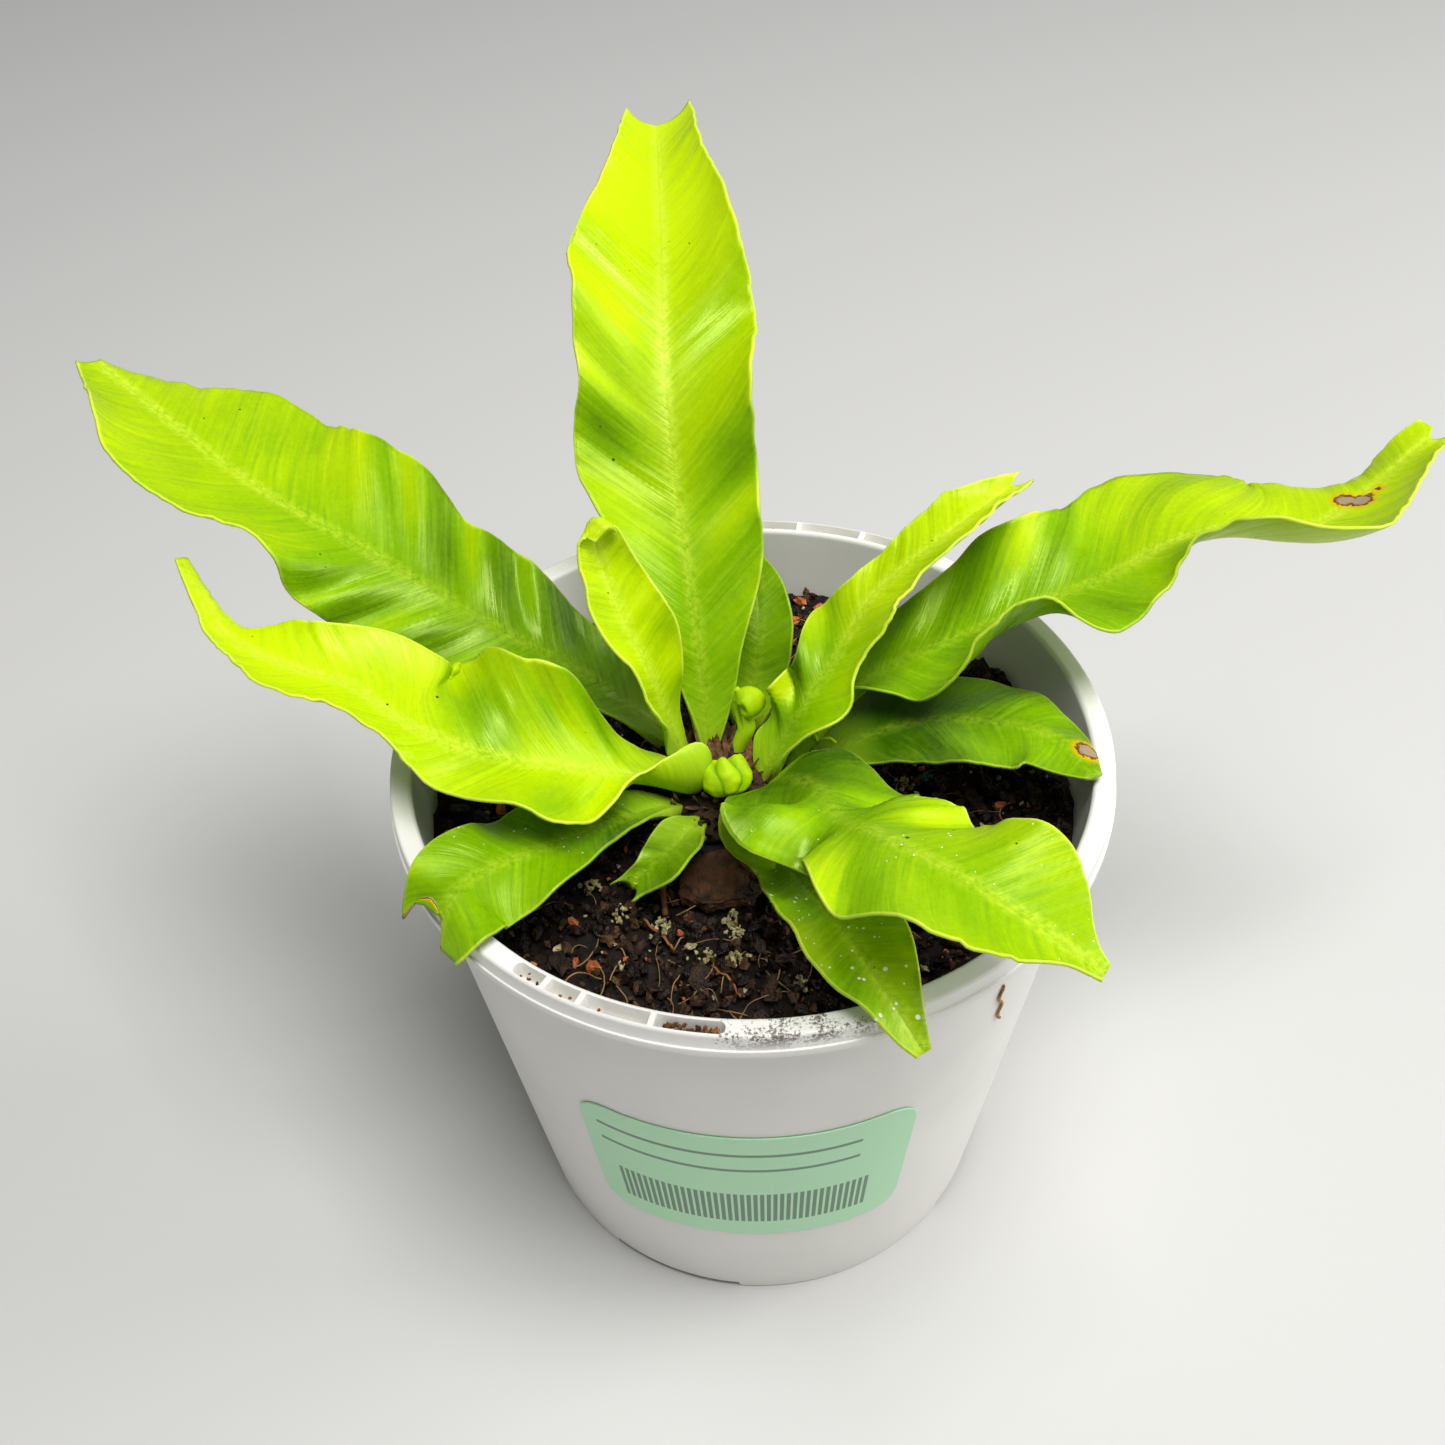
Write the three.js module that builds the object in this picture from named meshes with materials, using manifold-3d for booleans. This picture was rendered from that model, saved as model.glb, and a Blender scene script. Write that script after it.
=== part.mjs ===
// A young Australian bird's nest fern in its 105 mm nursery pot. Fronds, croziers and rhizome
// stand in the potting mix, and the mix fills the pot to a finger's breadth below the rim.
// Millimetres, +Z up, origin on the pot's axis where the pot stands. +X is to the right and
// -Y towards the viewer.
import * as THREE from "three";
import { mergeVertices } from "three/addons/utils/BufferGeometryUtils.js";
import Module from "manifold-3d";

const wasm = await Module();
wasm.setup();

// Driving dimensions of the pot.
const POT_HEIGHT = 90;
const RIM_RADIUS = 52.5;
const LIP_INNER_RADIUS = 49;
const RIM_DROP = 4.2;
const FOOT_RADIUS = 38.3;
const WALL = 1.2;
const WALL_TOP_RADIUS = 50.1;
const STEP_HEIGHT = 78;
const STEP = 0.3;
const FOOT_HEIGHT = 2;
const FOOT_WIDTH = 5;
const BASE_THICKNESS = 1.6;
const PAD_RADIUS = 7;
const EDGE_ROUND = 0.6;
const POT_SIDES = 64;
const DRAIN_HOLES = 5;
const DRAIN_HOLE_RADIUS = 3.5;
const DRAIN_RING_RADIUS = 22;
const DRAIN_SIDES = 16;
const FOOT_NOTCHES = 4;
const FOOT_NOTCH_WIDTH = 22;
const FOOT_NOTCH_TURN = 71;
const SLOT_RADIUS = 50.75;
const SLOT_WIDTH = 1.9;
const SLOT_DEPTH = 3.2;
const SLOT_RIB = 0.8;
// Where the rim's two label slots start and end, and where ribs cross them, in degrees.
const SLOTS = [
  { from: -124, to: -91.5, ribs: [-118.5, -113, -101.5] },
  { from: 64.5, to: 97, ribs: [71, 83, 91] },
];

// Driving dimensions of what stands in the pot.
const GAP = 0.3;
const MIX_LEVEL = 78.6;
const CROWN_CENTRE = new THREE.Vector2(-4, 0);
const CROWN_RADIUS = 11.5;
const CROWN_TOP = 84.6;
const CROWN_SEAT = 67;
const CROWN_HOLE_RADIUS = 12;
const CROWN_SIDES = 28;
const MIX_SIDES = 48;
const MIX_RINGS = 12;
const LUMP_COUNT = 46;
const LUMP_REACH = 46;
const BLADE = 0.9;
const BLADE_EDGE = 0.65;
const STIPE = 2.2;
const STIPE_LENGTH = 11;
const STATION = 3.6;
// The midrib's half breadth at the base, its keel and groove there, and where a cleft begins.
const RIB = 0.9;
const KEEL = 1;
const GROOVE = 0.15;
const CLEFT_START = 0.8;

// Driving dimensions of the label on the wall.
const LABEL_WIDTH = 49;
const LABEL_BOTTOM = 23.5;
const LABEL_TOP = 57.5;
const LABEL_MIDDLE = -89;
const LABEL_CORNER = 5;
const LABEL_THICKNESS = 0.3;
const LABEL_GAP = 0.25;

// The fronds, from base to tip. The midrib is a row of points evenly spread along the frond.
// half is the breadth from the midrib to an edge, and tilt how far that half is lifted, in
// degrees; both are given for evenly spaced shares of the length. Left and right are as seen
// from the base looking along the frond. notch is the depth of the cleft between the tip's
// two horns.
const FRONDS = {
  frond_back: {
    midrib: [[-6.5, 4.5, 83], [-8, 10, 100], [-11.5, 24.5, 118], [-13.5, 37, 130], [-15, 55.5, 139],
      [-18, 86, 146]],
    left: { half: [1.3, 3.6, 7.5, 10, 13, 14.2, 13.8, 13.6, 11.6, 8.6, 4.5],
      tilt: [20, 20, 25, 22, 5, 10, 22, 18, 25, 30, 0] },
    right: { half: [1.3, 4.6, 9, 11.5, 12.8, 13.8, 13.8, 13.6, 11.8, 8.8, 4.6],
      tilt: [10, 12, 10, 10, 18, 30, 15, 30, 35, 32, 10] },
    notch: 5,
    columns: 4,
  },
  frond_back_left: {
    midrib: [[-11.5, 5.8, 82], [-22, 9, 91], [-40, 12, 101.5], [-58, 19, 109], [-77, 27, 116],
      [-103, 45, 125]],
    left: { half: [1.3, 5, 8.5, 11, 11.5, 12.2, 15, 17, 15.5, 10.5, 2.5],
      tilt: [20, 20, 12, -10, -25, -16, 20, 20, 20, 34, 10] },
    right: { half: [1.3, 5.5, 9, 12, 14.5, 16.5, 17.8, 17.6, 15.5, 10.5, 2.5],
      tilt: [10, 0, 8, 15, 8, 10, 10, 2, 0, -12, -40] },
    notch: 1.5,
    columns: 4,
  },
  frond_left: {
    midrib: [[-8.5, -2.5, 83], [-20.5, -9.5, 92], [-33.5, -14, 99], [-46, -12, 103], [-62, -5, 107],
      [-82, 13, 112]],
    left: { half: [1.3, 5.5, 9, 11.5, 13.5, 14.6, 15.2, 14.5, 12.3, 8, 1.5],
      tilt: [40, 60, 35, 15, 28, 48, 38, 36, 42, 46, 20] },
    right: { half: [1.3, 7, 13, 14.5, 14, 12.5, 11, 10.5, 8.8, 6.5, 1.5],
      tilt: [0, -10, 12, 35, 38, 40, 34, 17, -10, -45, -50] },
    notch: 0,
    columns: 4,
  },
  frond_young_hooked: {
    midrib: [[-10.4, 1.6, 83], [-14, 2.5, 98], [-17.5, 4.5, 107], [-21, 8, 115], [-21.5, 9, 120],
      [-19, 9, 122], [-17.5, 7, 119]],
    left: { half: [1.2, 2.8, 4.6, 5.6, 5.2, 3.9, 1.5], tilt: [0, 45, 42, 32, 18, 10, 0] },
    right: { half: [1.2, 3.4, 4.9, 6.8, 6.4, 4.6, 1.5], tilt: [0, -8, 18, 32, 28, 40, 20] },
    notch: 0,
    columns: 3,
  },
  frond_behind: {
    midrib: [[-1, 8.5, 82], [-0.5, 11.8, 88], [0.5, 15, 95], [0.2, 20.6, 100], [-1.3, 26.7, 103]],
    left: { half: [1.2, 4, 5.2, 5.5, 4.5, 1.5], tilt: [20, 20, 20, 20, 20, 10] },
    right: { half: [1.2, 4, 5.2, 5.5, 4.5, 1.5], tilt: [20, 15, 15, 15, 15, 10] },
    notch: 0,
    columns: 3,
  },
  frond_right_middle: {
    midrib: [[1.5, -0.8, 82], [7.5, 1, 95], [14, 8, 103], [17.5, 12, 107.5], [26, 17, 113],
      [38, 29, 117]],
    left: { half: [1.3, 4.6, 6.4, 7, 7, 6, 5.4, 5.2, 4.8, 3.5, 1.2],
      tilt: [10, -5, 5, 0, 15, 0, -4, 8, 15, 35, 0] },
    right: { half: [1.3, 4.2, 6.3, 7, 7, 7, 7, 6.5, 5.5, 3.8, 1.2],
      tilt: [15, 42, 38, 8, 25, 22, 28, 36, 38, 38, 0] },
    notch: 2.5,
    columns: 3,
  },
  frond_right_long: {
    midrib: [[4.5, 2, 82], [17.5, 11, 92], [30, 13.5, 98], [49.5, 18.5, 105], [65, 25, 110],
      [82.5, 27.5, 112], [102.5, 47, 112]],
    left: { half: [1.3, 4, 8, 11.5, 15, 15.5, 15.2, 14, 11.4, 8, 3.5],
      tilt: [15, 30, 15, 18, 32, 2, -8, -12, -12, -35, 10] },
    right: { half: [1.3, 4, 8, 11.5, 14.5, 15.8, 15.2, 14.6, 12.8, 8.8, 3.5],
      tilt: [15, 46, 25, 24, 50, 28, 44, 26, 38, 42, 0] },
    notch: 3,
    columns: 4,
  },
  frond_right_low: {
    midrib: [[7.5, 1.2, 81], [14, 3, 85.8], [25, 5, 89.2], [36, 3, 91], [44, -1, 92], [48.5, -8, 92]],
    left: { half: [1.2, 5, 9, 11, 10.5, 7.5, 1.2], tilt: [10, 10, 5, -5, -10, -15, -20] },
    right: { half: [1.2, 5, 9, 11, 10.5, 7.5, 1.2], tilt: [0, 0, 8, 15, 15, 10, 0] },
    notch: 0,
    columns: 3,
  },
  frond_front_right: {
    midrib: [[0.5, -5.5, 82], [5, -12, 94], [9.5, -19, 100], [13, -27, 102.5], [17, -35, 109],
      [25, -43, 112], [34, -49, 110.5], [43, -54, 107]],
    left: { half: [1.3, 3.8, 7.2, 9.5, 11, 12.5, 13, 13, 12, 9, 1.5],
      tilt: [10, 15, 5, -18, -15, -10, -15, -12, 15, 5, 0] },
    right: { half: [1.3, 4.5, 8, 11.5, 12, 13, 13, 13, 12, 8.5, 1.5],
      tilt: [10, 5, 8, -42, 30, -12, 5, 5, 22, 32, 30] },
    notch: 0,
    columns: 4,
  },
  frond_front: {
    midrib: [[-0.5, -8.8, 81], [4, -20.5, 88], [12, -34.5, 92.5], [18.5, -46.5, 93], [23.5, -53, 89]],
    left: { half: [1.2, 4, 7, 8, 6.2, 1.2], tilt: [15, 15, 15, 12, 10, 10] },
    right: { half: [1.2, 4, 7, 8, 6.2, 1.2], tilt: [10, 5, 25, 27, 27, 20] },
    notch: 0,
    columns: 3,
  },
  frond_front_left: {
    midrib: [[-10.5, -6, 81.5], [-16, -13, 87], [-25, -22, 91], [-34.5, -29.5, 93],
      [-38, -34.5, 92.5], [-39.5, -38, 88]],
    left: { half: [1.2, 2.5, 4, 5.5, 7, 7.8, 8.5, 8.7, 8, 7.3, 6.2],
      tilt: [12, 26, 30, 28, 22, 10, 0, -15, -15, -5, 20] },
    right: { half: [1.2, 2.5, 4, 5.5, 7, 7.8, 8.5, 8.7, 8, 7.3, 6.2],
      tilt: [10, 15, 20, 8, 10, 12, 0, 12, 10, 5, 10] },
    notch: 4,
    columns: 3,
  },
  frond_small_forked: {
    midrib: [[-7, -8.8, 81.5], [-9.5, -15.5, 84], [-12.5, -21, 85.5], [-17, -25.5, 85]],
    left: { half: [1.1, 3, 5, 5.8, 5.5, 3], tilt: [0, 20, 45, 40, 30, 15] },
    right: { half: [1.1, 2.6, 3.6, 3.8, 3.2, 2], tilt: [20, 30, 20, 10, 0, 0] },
    notch: 3,
    columns: 3,
  },
};

const radians = THREE.MathUtils.degToRad;

// A geometry as a solid that can be joined and cut.
function solid(geometry) {
  const bare = geometry.clone();
  bare.deleteAttribute("normal");
  bare.deleteAttribute("uv");
  const merged = mergeVertices(bare, 1e-4);
  const mesh = new wasm.Mesh({
    numProp: 3,
    vertProperties: merged.attributes.position.array,
    triVerts: new Uint32Array(merged.index.array),
  });
  return new wasm.Manifold(mesh);
}

// A solid back as a geometry.
function geometryOf(body) {
  const mesh = body.getMesh();
  const geometry = new THREE.BufferGeometry();
  geometry.setAttribute("position", new THREE.BufferAttribute(mesh.vertProperties, 3));
  geometry.setIndex(new THREE.BufferAttribute(mesh.triVerts, 1));
  return geometry;
}

// The largest of the bodies that a cut leaves.
function largestBody(body) {
  return body.decompose().sort((a, b) => b.volume() - a.volume())[0];
}

function part(name, geometry, color, roughness) {
  const material = new THREE.MeshStandardMaterial({ color, roughness, metalness: 0 });
  const mesh = new THREE.Mesh(geometry, material);
  mesh.name = name;
  return mesh;
}

// A smooth value from a list that is spread evenly over shares 0 to 1.
function along(list, share) {
  const last = list.length - 1;
  const place = Math.min(Math.max(share, 0), 1) * last;
  const i = Math.min(Math.floor(place), last - 1);
  const f = place - i;
  const before = i > 0 ? list[i - 1] : 2 * list[0] - list[1];
  const after = i + 2 <= last ? list[i + 2] : 2 * list[last] - list[last - 1];
  const [a, b, c, d] = [before, list[i], list[i + 1], after];
  return b + 0.5 * f * (c - a + f * (2 * a - 5 * b + 4 * c - d + f * (3 * (b - c) + d - a)));
}

// A closed body between a front and a back grid of points, split into the same triangles.
function slab(front, back) {
  const rows = front.length;
  const columns = front[0].length;
  const points = [...front.flat(), ...back.flat()];
  const at = (side, i, j) => side * rows * columns + i * columns + j;
  const faces = [];
  const quad = (a, b, c, d) => faces.push(a, b, c, a, c, d);
  for (let i = 0; i < rows - 1; i++) {
    for (let j = 0; j < columns - 1; j++) {
      quad(at(0, i, j), at(0, i, j + 1), at(0, i + 1, j + 1), at(0, i + 1, j));
      faces.push(at(1, i, j), at(1, i + 1, j + 1), at(1, i, j + 1));
      faces.push(at(1, i, j), at(1, i + 1, j), at(1, i + 1, j + 1));
    }
    quad(at(0, i, 0), at(0, i + 1, 0), at(1, i + 1, 0), at(1, i, 0));
    quad(at(0, i + 1, columns - 1), at(0, i, columns - 1), at(1, i, columns - 1),
      at(1, i + 1, columns - 1));
  }
  for (let j = 0; j < columns - 1; j++) {
    quad(at(0, 0, j + 1), at(0, 0, j), at(1, 0, j), at(1, 0, j + 1));
    quad(at(0, rows - 1, j), at(0, rows - 1, j + 1), at(1, rows - 1, j + 1), at(1, rows - 1, j));
  }
  const geometry = new THREE.BufferGeometry().setFromPoints(points);
  geometry.setIndex(faces);
  return geometry;
}

// The midrib as evenly spaced stations with their directions: along, across and up.
function stations(midrib, count) {
  const curve = (share) =>
    new THREE.Vector3(...[0, 1, 2].map((k) => along(midrib.map((point) => point[k]), share)));
  const fine = Array.from({ length: 401 }, (_, i) => curve(i / 400));
  const reached = [0];
  for (let i = 1; i < fine.length; i++) {
    reached.push(reached[i - 1] + fine[i].distanceTo(fine[i - 1]));
  }
  const length = reached[reached.length - 1];
  const rows = count ?? Math.round(length / STATION);
  const points = [];
  for (let i = 0, k = 1; i <= rows; i++) {
    const goal = (length * i) / rows;
    while (k < fine.length - 1 && reached[k] < goal) k++;
    const f = (goal - reached[k - 1]) / (reached[k] - reached[k - 1]);
    points.push(fine[k - 1].clone().lerp(fine[k], f));
  }
  const span = points[rows].clone().sub(points[0]);
  const level = new THREE.Vector3(span.y, -span.x, 0).normalize();
  return points.map((point, i) => {
    const next = points[Math.min(i + 1, rows)];
    const previous = points[Math.max(i - 1, 0)];
    const forward = next.clone().sub(previous).normalize();
    const across = level.clone().addScaledVector(forward, -level.dot(forward)).normalize();
    return { point, forward, across, up: across.clone().cross(forward), share: i / rows, length };
  });
}

// How far a half that is lifted by tilt reaches out and up. It bends up more towards its edge.
function bend(fraction, tilt) {
  const steps = 8;
  let out = 0;
  let up = 0;
  for (let k = 0; k <= steps; k++) {
    const weight = (k === 0 || k === steps ? 0.5 : 1) / steps;
    const angle = radians(tilt) * (0.4 + (1.2 * fraction * k) / steps);
    out += weight * Math.cos(angle);
    up += weight * Math.sin(angle);
  }
  return [out * fraction, up * fraction];
}

// A frond: a thin waved blade on a stout stipe, keeled below along its midrib and hollowed
// above it. clearance makes the same frond larger all round, to cut the socket it stands in.
function frond(shape, clearance = 0) {
  const rows = stations(shape.midrib);
  const outward = shape.columns === 4 ? [0.38, 0.7, 1] : [0.5, 1];
  const middle = rows.map(({ point, forward, across, up, share, length }) => {
    const row = [];
    const sunk = share === 0 ? 2 * clearance : 0;
    const place = (side, fraction, half, tilt) => {
      const [out, lift] = bend(fraction, tilt);
      const nearTip = Math.max(share - CLEFT_START, 0) / (1 - CLEFT_START);
      const cleft = shape.notch * (1 - fraction) * nearTip ** 2;
      return point.clone()
        .addScaledVector(across, side * out * half)
        .addScaledVector(up, lift * half)
        .addScaledVector(forward, -cleft - sunk);
    };
    for (const side of [-1, 1]) {
      const half = side < 0 ? shape.left : shape.right;
      const breadth = along(half.half, share) + clearance;
      const rib = Math.min(0.25, (RIB - 0.5 * share) / breadth);
      const tilt = along(half.tilt, share);
      const shares = [rib, ...outward.map((u) => rib + (1 - rib) * u)];
      const points = shares.map((u) => place(side, u, breadth, tilt));
      if (side < 0) row.push(...points.reverse(), place(1, 0, breadth, 0));
      else row.push(...points);
    }
    const stipe = 1 - THREE.MathUtils.smoothstep(share * length, 2, STIPE_LENGTH);
    return { row, share, stipe };
  });
  const centre = outward.length + 1;
  const columns = 2 * centre + 1;
  const grids = [[], []];
  middle.forEach(({ row, share, stipe }, i) => {
    const after = middle[Math.min(i + 1, middle.length - 1)].row;
    const before = middle[Math.max(i - 1, 0)].row;
    const front = [];
    const back = [];
    for (let j = 0; j < columns; j++) {
      const lengthwise = after[j].clone().sub(before[j]);
      const crosswise = row[Math.min(j + 1, columns - 1)].clone().sub(row[Math.max(j - 1, 0)]);
      const normal = crosswise.cross(lengthwise).normalize();
      const fromCentre = Math.abs(j - centre) / centre;
      const leaf = BLADE + (BLADE_EDGE - BLADE) * fromCentre;
      const thickness = leaf + (STIPE - leaf) * stipe * (1 - 0.5 * fromCentre) + 2 * clearance;
      const keel = j === centre ? KEEL - 0.8 * share : 0;
      const groove = j === centre ? GROOVE : 0;
      front.push(row[j].clone().addScaledVector(normal, thickness / 2 - groove));
      back.push(row[j].clone().addScaledVector(normal, -thickness / 2 - keel));
    }
    grids[0].push(front);
    grids[1].push(back);
  });
  return slab(grids[0], grids[1]);
}

// A turned body from a profile of [radius, height] points.
function turned(profile, sides) {
  return new THREE.LatheGeometry(profile.map(([r, z]) => new THREE.Vector2(r, z)), sides)
    .rotateX(Math.PI / 2);
}

// The outside radius of the pot's wall at a height.
function wallRadius(z) {
  const slope = (WALL_TOP_RADIUS - STEP - FOOT_RADIUS) / (POT_HEIGHT - RIM_DROP);
  return FOOT_RADIUS + slope * z + (z > STEP_HEIGHT ? STEP : 0);
}

// A ring piece of rectangular section between two angles, for slots and notches.
function ringPiece(inner, outer, bottom, top, from, to) {
  const steps = Math.max(2, Math.round((to - from) / 5));
  const ring = new THREE.Shape();
  ring.absarc(0, 0, outer, radians(from), radians(to), false);
  ring.absarc(0, 0, inner, radians(to), radians(from), true);
  const options = { depth: top - bottom, bevelEnabled: false, curveSegments: steps };
  return new THREE.ExtrudeGeometry(ring, options).translate(0, 0, bottom);
}

// The pot: moulded plastic, tapered, with a turned-out rim and a faint step below it. It stands
// on a foot ring broken by notches and on a pad in the middle of the base, among drain holes.
function pot() {
  const rimBottom = POT_HEIGHT - RIM_DROP;
  const floor = FOOT_HEIGHT + BASE_THICKNESS;
  let body = solid(turned([
    [0, 0],
    [PAD_RADIUS, 0],
    [PAD_RADIUS, FOOT_HEIGHT],
    [FOOT_RADIUS - FOOT_WIDTH, FOOT_HEIGHT],
    [FOOT_RADIUS - FOOT_WIDTH, 0],
    [FOOT_RADIUS, 0],
    [wallRadius(STEP_HEIGHT), STEP_HEIGHT],
    [wallRadius(STEP_HEIGHT + STEP), STEP_HEIGHT + STEP],
    [WALL_TOP_RADIUS, rimBottom],
    [RIM_RADIUS - EDGE_ROUND, rimBottom],
    [RIM_RADIUS, rimBottom + EDGE_ROUND],
    [RIM_RADIUS, POT_HEIGHT - 2 * EDGE_ROUND],
    [RIM_RADIUS - EDGE_ROUND, POT_HEIGHT - EDGE_ROUND / 2],
    [RIM_RADIUS - 2 * EDGE_ROUND, POT_HEIGHT],
    [LIP_INNER_RADIUS + EDGE_ROUND, POT_HEIGHT],
    [LIP_INNER_RADIUS, POT_HEIGHT - EDGE_ROUND],
    [wallRadius(STEP_HEIGHT) - WALL, STEP_HEIGHT],
    [wallRadius(floor) - WALL, floor],
    [0, floor],
  ], POT_SIDES));
  const slotInner = SLOT_RADIUS - SLOT_WIDTH / 2;
  const slotOuter = SLOT_RADIUS + SLOT_WIDTH / 2;
  const slotBottom = POT_HEIGHT - SLOT_DEPTH;
  const halfRib = THREE.MathUtils.radToDeg(SLOT_RIB / 2 / SLOT_RADIUS);
  for (const { from, to, ribs } of SLOTS) {
    const stops = [from, ...ribs.flatMap((rib) => [rib - halfRib, rib + halfRib]), to];
    for (let k = 0; k < stops.length; k += 2) {
      const slot = ringPiece(slotInner, slotOuter, slotBottom, POT_HEIGHT + 1, stops[k], stops[k + 1]);
      body = body.subtract(solid(slot));
    }
  }
  const halfNotch = THREE.MathUtils.radToDeg(FOOT_NOTCH_WIDTH / 2 / FOOT_RADIUS);
  for (let k = 0; k < FOOT_NOTCHES; k++) {
    const middle = FOOT_NOTCH_TURN + (360 / FOOT_NOTCHES) * k;
    const inner = FOOT_RADIUS - FOOT_WIDTH - 1;
    const top = FOOT_HEIGHT - 0.5;
    const notch = ringPiece(inner, RIM_RADIUS, -1, top, middle - halfNotch, middle + halfNotch);
    body = body.subtract(solid(notch));
  }
  const through = 10;
  const drill = new THREE.CylinderGeometry(DRAIN_HOLE_RADIUS, DRAIN_HOLE_RADIUS, through, DRAIN_SIDES)
    .rotateX(Math.PI / 2);
  for (let k = 0; k < DRAIN_HOLES; k++) {
    const turn = radians((360 / DRAIN_HOLES) * k + 90);
    body = body.subtract(solid(drill.clone()
      .translate(DRAIN_RING_RADIUS * Math.cos(turn), DRAIN_RING_RADIUS * Math.sin(turn), floor)));
  }
  return geometryOf(body);
}

// The bark chip's middle, and how far its outline reaches from there.
const CHIP_PLACE = new THREE.Vector3(-3.5, -18.8, 80.4);
const CHIP_REACH = 7;
const CHIP_THICKNESS = 1.2;

// A steady pseudo-random value from 0 to 1 for a number.
function chance(n) {
  const x = Math.sin(n * 127.1 + 3.7) * 43758.5453;
  return x - Math.floor(x);
}

// The height of the mix's surface: a low mound towards the crown, with lumps of bark and grit.
const GOLDEN_ANGLE = Math.PI * (3 - Math.sqrt(5));
const LUMPS = Array.from({ length: LUMP_COUNT }, (_, k) => {
  const turn = GOLDEN_ANGLE * k;
  const reach = LUMP_REACH * Math.sqrt((k + 0.5) / LUMP_COUNT);
  return { x: reach * Math.cos(turn), y: reach * Math.sin(turn), size: 2.2 + 2.2 * chance(k),
    rise: 0.5 + 1.1 * chance(k + 100) };
}).filter(({ x, y, size }) => Math.hypot(x - CHIP_PLACE.x, y - CHIP_PLACE.y) > CHIP_REACH + size);
function mixHeight(x, y) {
  const mound = 1.2 * Math.exp(-((x + 4) ** 2 + y ** 2) / 500);
  const waves = 0.35 * Math.sin(0.42 * x + 1) * Math.cos(0.37 * y) + 0.2 * Math.sin(0.9 * x - 0.8 * y);
  let lumps = 0;
  for (const { x: cx, y: cy, size, rise } of LUMPS) {
    const away = Math.hypot(x - cx, y - cy) / size;
    if (away < 1) lumps = Math.max(lumps, rise * (1 - away * away));
  }
  return MIX_LEVEL + mound + waves + lumps;
}

// The potting mix: it fills the pot and has a plain hole for the crown's rootstock.
function pottingMix() {
  const floor = FOOT_HEIGHT + BASE_THICKNESS + GAP;
  const rim = wallRadius(MIX_LEVEL) - WALL - 2 * GAP;
  const foot = wallRadius(floor) - WALL - 2 * GAP;
  const profile = [[0, floor], [foot, floor], [rim, MIX_LEVEL]];
  for (let k = MIX_RINGS - 1; k >= 0; k--) profile.push([(rim * k) / MIX_RINGS, MIX_LEVEL]);
  const geometry = turned(profile, MIX_SIDES);
  const position = geometry.attributes.position;
  for (let i = 0; i < position.count; i++) {
    const [x, y, z] = [position.getX(i), position.getY(i), position.getZ(i)];
    if (z > MIX_LEVEL - 0.01) position.setZ(i, mixHeight(x, y));
  }
  const depth = 40;
  const hole = new THREE.CylinderGeometry(CROWN_HOLE_RADIUS, CROWN_HOLE_RADIUS, depth, CROWN_SIDES)
    .rotateX(Math.PI / 2)
    .translate(CROWN_CENTRE.x, CROWN_CENTRE.y, CROWN_SEAT - GAP + depth / 2);
  return largestBody(solid(geometry).subtract(solid(hole)));
}

// The rhizome: a scaly brown crown on a short rootstock, with a socket for each stipe.
function crown(standing) {
  const shoulder = MIX_LEVEL + 1;
  const rise = CROWN_TOP - shoulder;
  const profile = [[0, CROWN_SEAT], [CROWN_RADIUS - 1, CROWN_SEAT], [CROWN_RADIUS, CROWN_SEAT + 1.5]];
  profile.push([CROWN_RADIUS, (CROWN_SEAT + shoulder) / 2]);
  for (let k = 0; k < 6; k++) {
    const turn = (k / 6) * (Math.PI / 2);
    profile.push([CROWN_RADIUS * Math.cos(turn), shoulder + rise * Math.sin(turn)]);
  }
  profile.push([0, CROWN_TOP]);
  const geometry = turned(profile, CROWN_SIDES);
  const position = geometry.attributes.position;
  for (let i = 0; i < position.count; i++) {
    const [x, y, z] = [position.getX(i), position.getY(i), position.getZ(i)];
    const turn = Math.atan2(y, x);
    const knobs = 0.93 + 0.04 * Math.sin(5 * turn + 0.9 * z) + 0.04 * Math.sin(8 * turn - 1.3 * z);
    position.setXY(i, x * knobs, y * knobs);
  }
  geometry.translate(CROWN_CENTRE.x, CROWN_CENTRE.y, 0);
  let body = solid(geometry);
  for (const cutter of standing) body = body.subtract(cutter);
  return largestBody(body);
}

// A ball, stretched along the three axes.
function ball(centre, radius, stretch = [1, 1, 1]) {
  return solid(new THREE.SphereGeometry(radius, 8, 6).scale(...stretch).translate(...centre));
}

// The taller crozier: a stalk that ends in a coiled head, the next frond still rolled up.
const CROZIER_TALL = { foot: [-2.3, 3.6, 79.5], neck: [-1, 4.9, 88.5], head: [0.2, 5.8, 92.4],
  stalk: 0.95, coil: 1.5, fold: 1.15 };
// The lower crozier: a round pleated knob close above the crown.
const CROZIER_LOW = { foot: [-3.4, -3.4, 79.5], neck: [-3.3, -5.4, 85.5], head: [-3.2, -6, 88.3],
  stalk: 1.5, knob: 3.1, pleats: 8 };

function stalk(from, to, radius) {
  const path = new THREE.LineCurve3(new THREE.Vector3(...from), new THREE.Vector3(...to));
  const section = new THREE.Shape().absarc(0, 0, radius, 0, 2 * Math.PI, false);
  const options = { extrudePath: path, steps: 3, curveSegments: 8, bevelEnabled: false };
  return solid(new THREE.ExtrudeGeometry(section, options));
}

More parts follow.
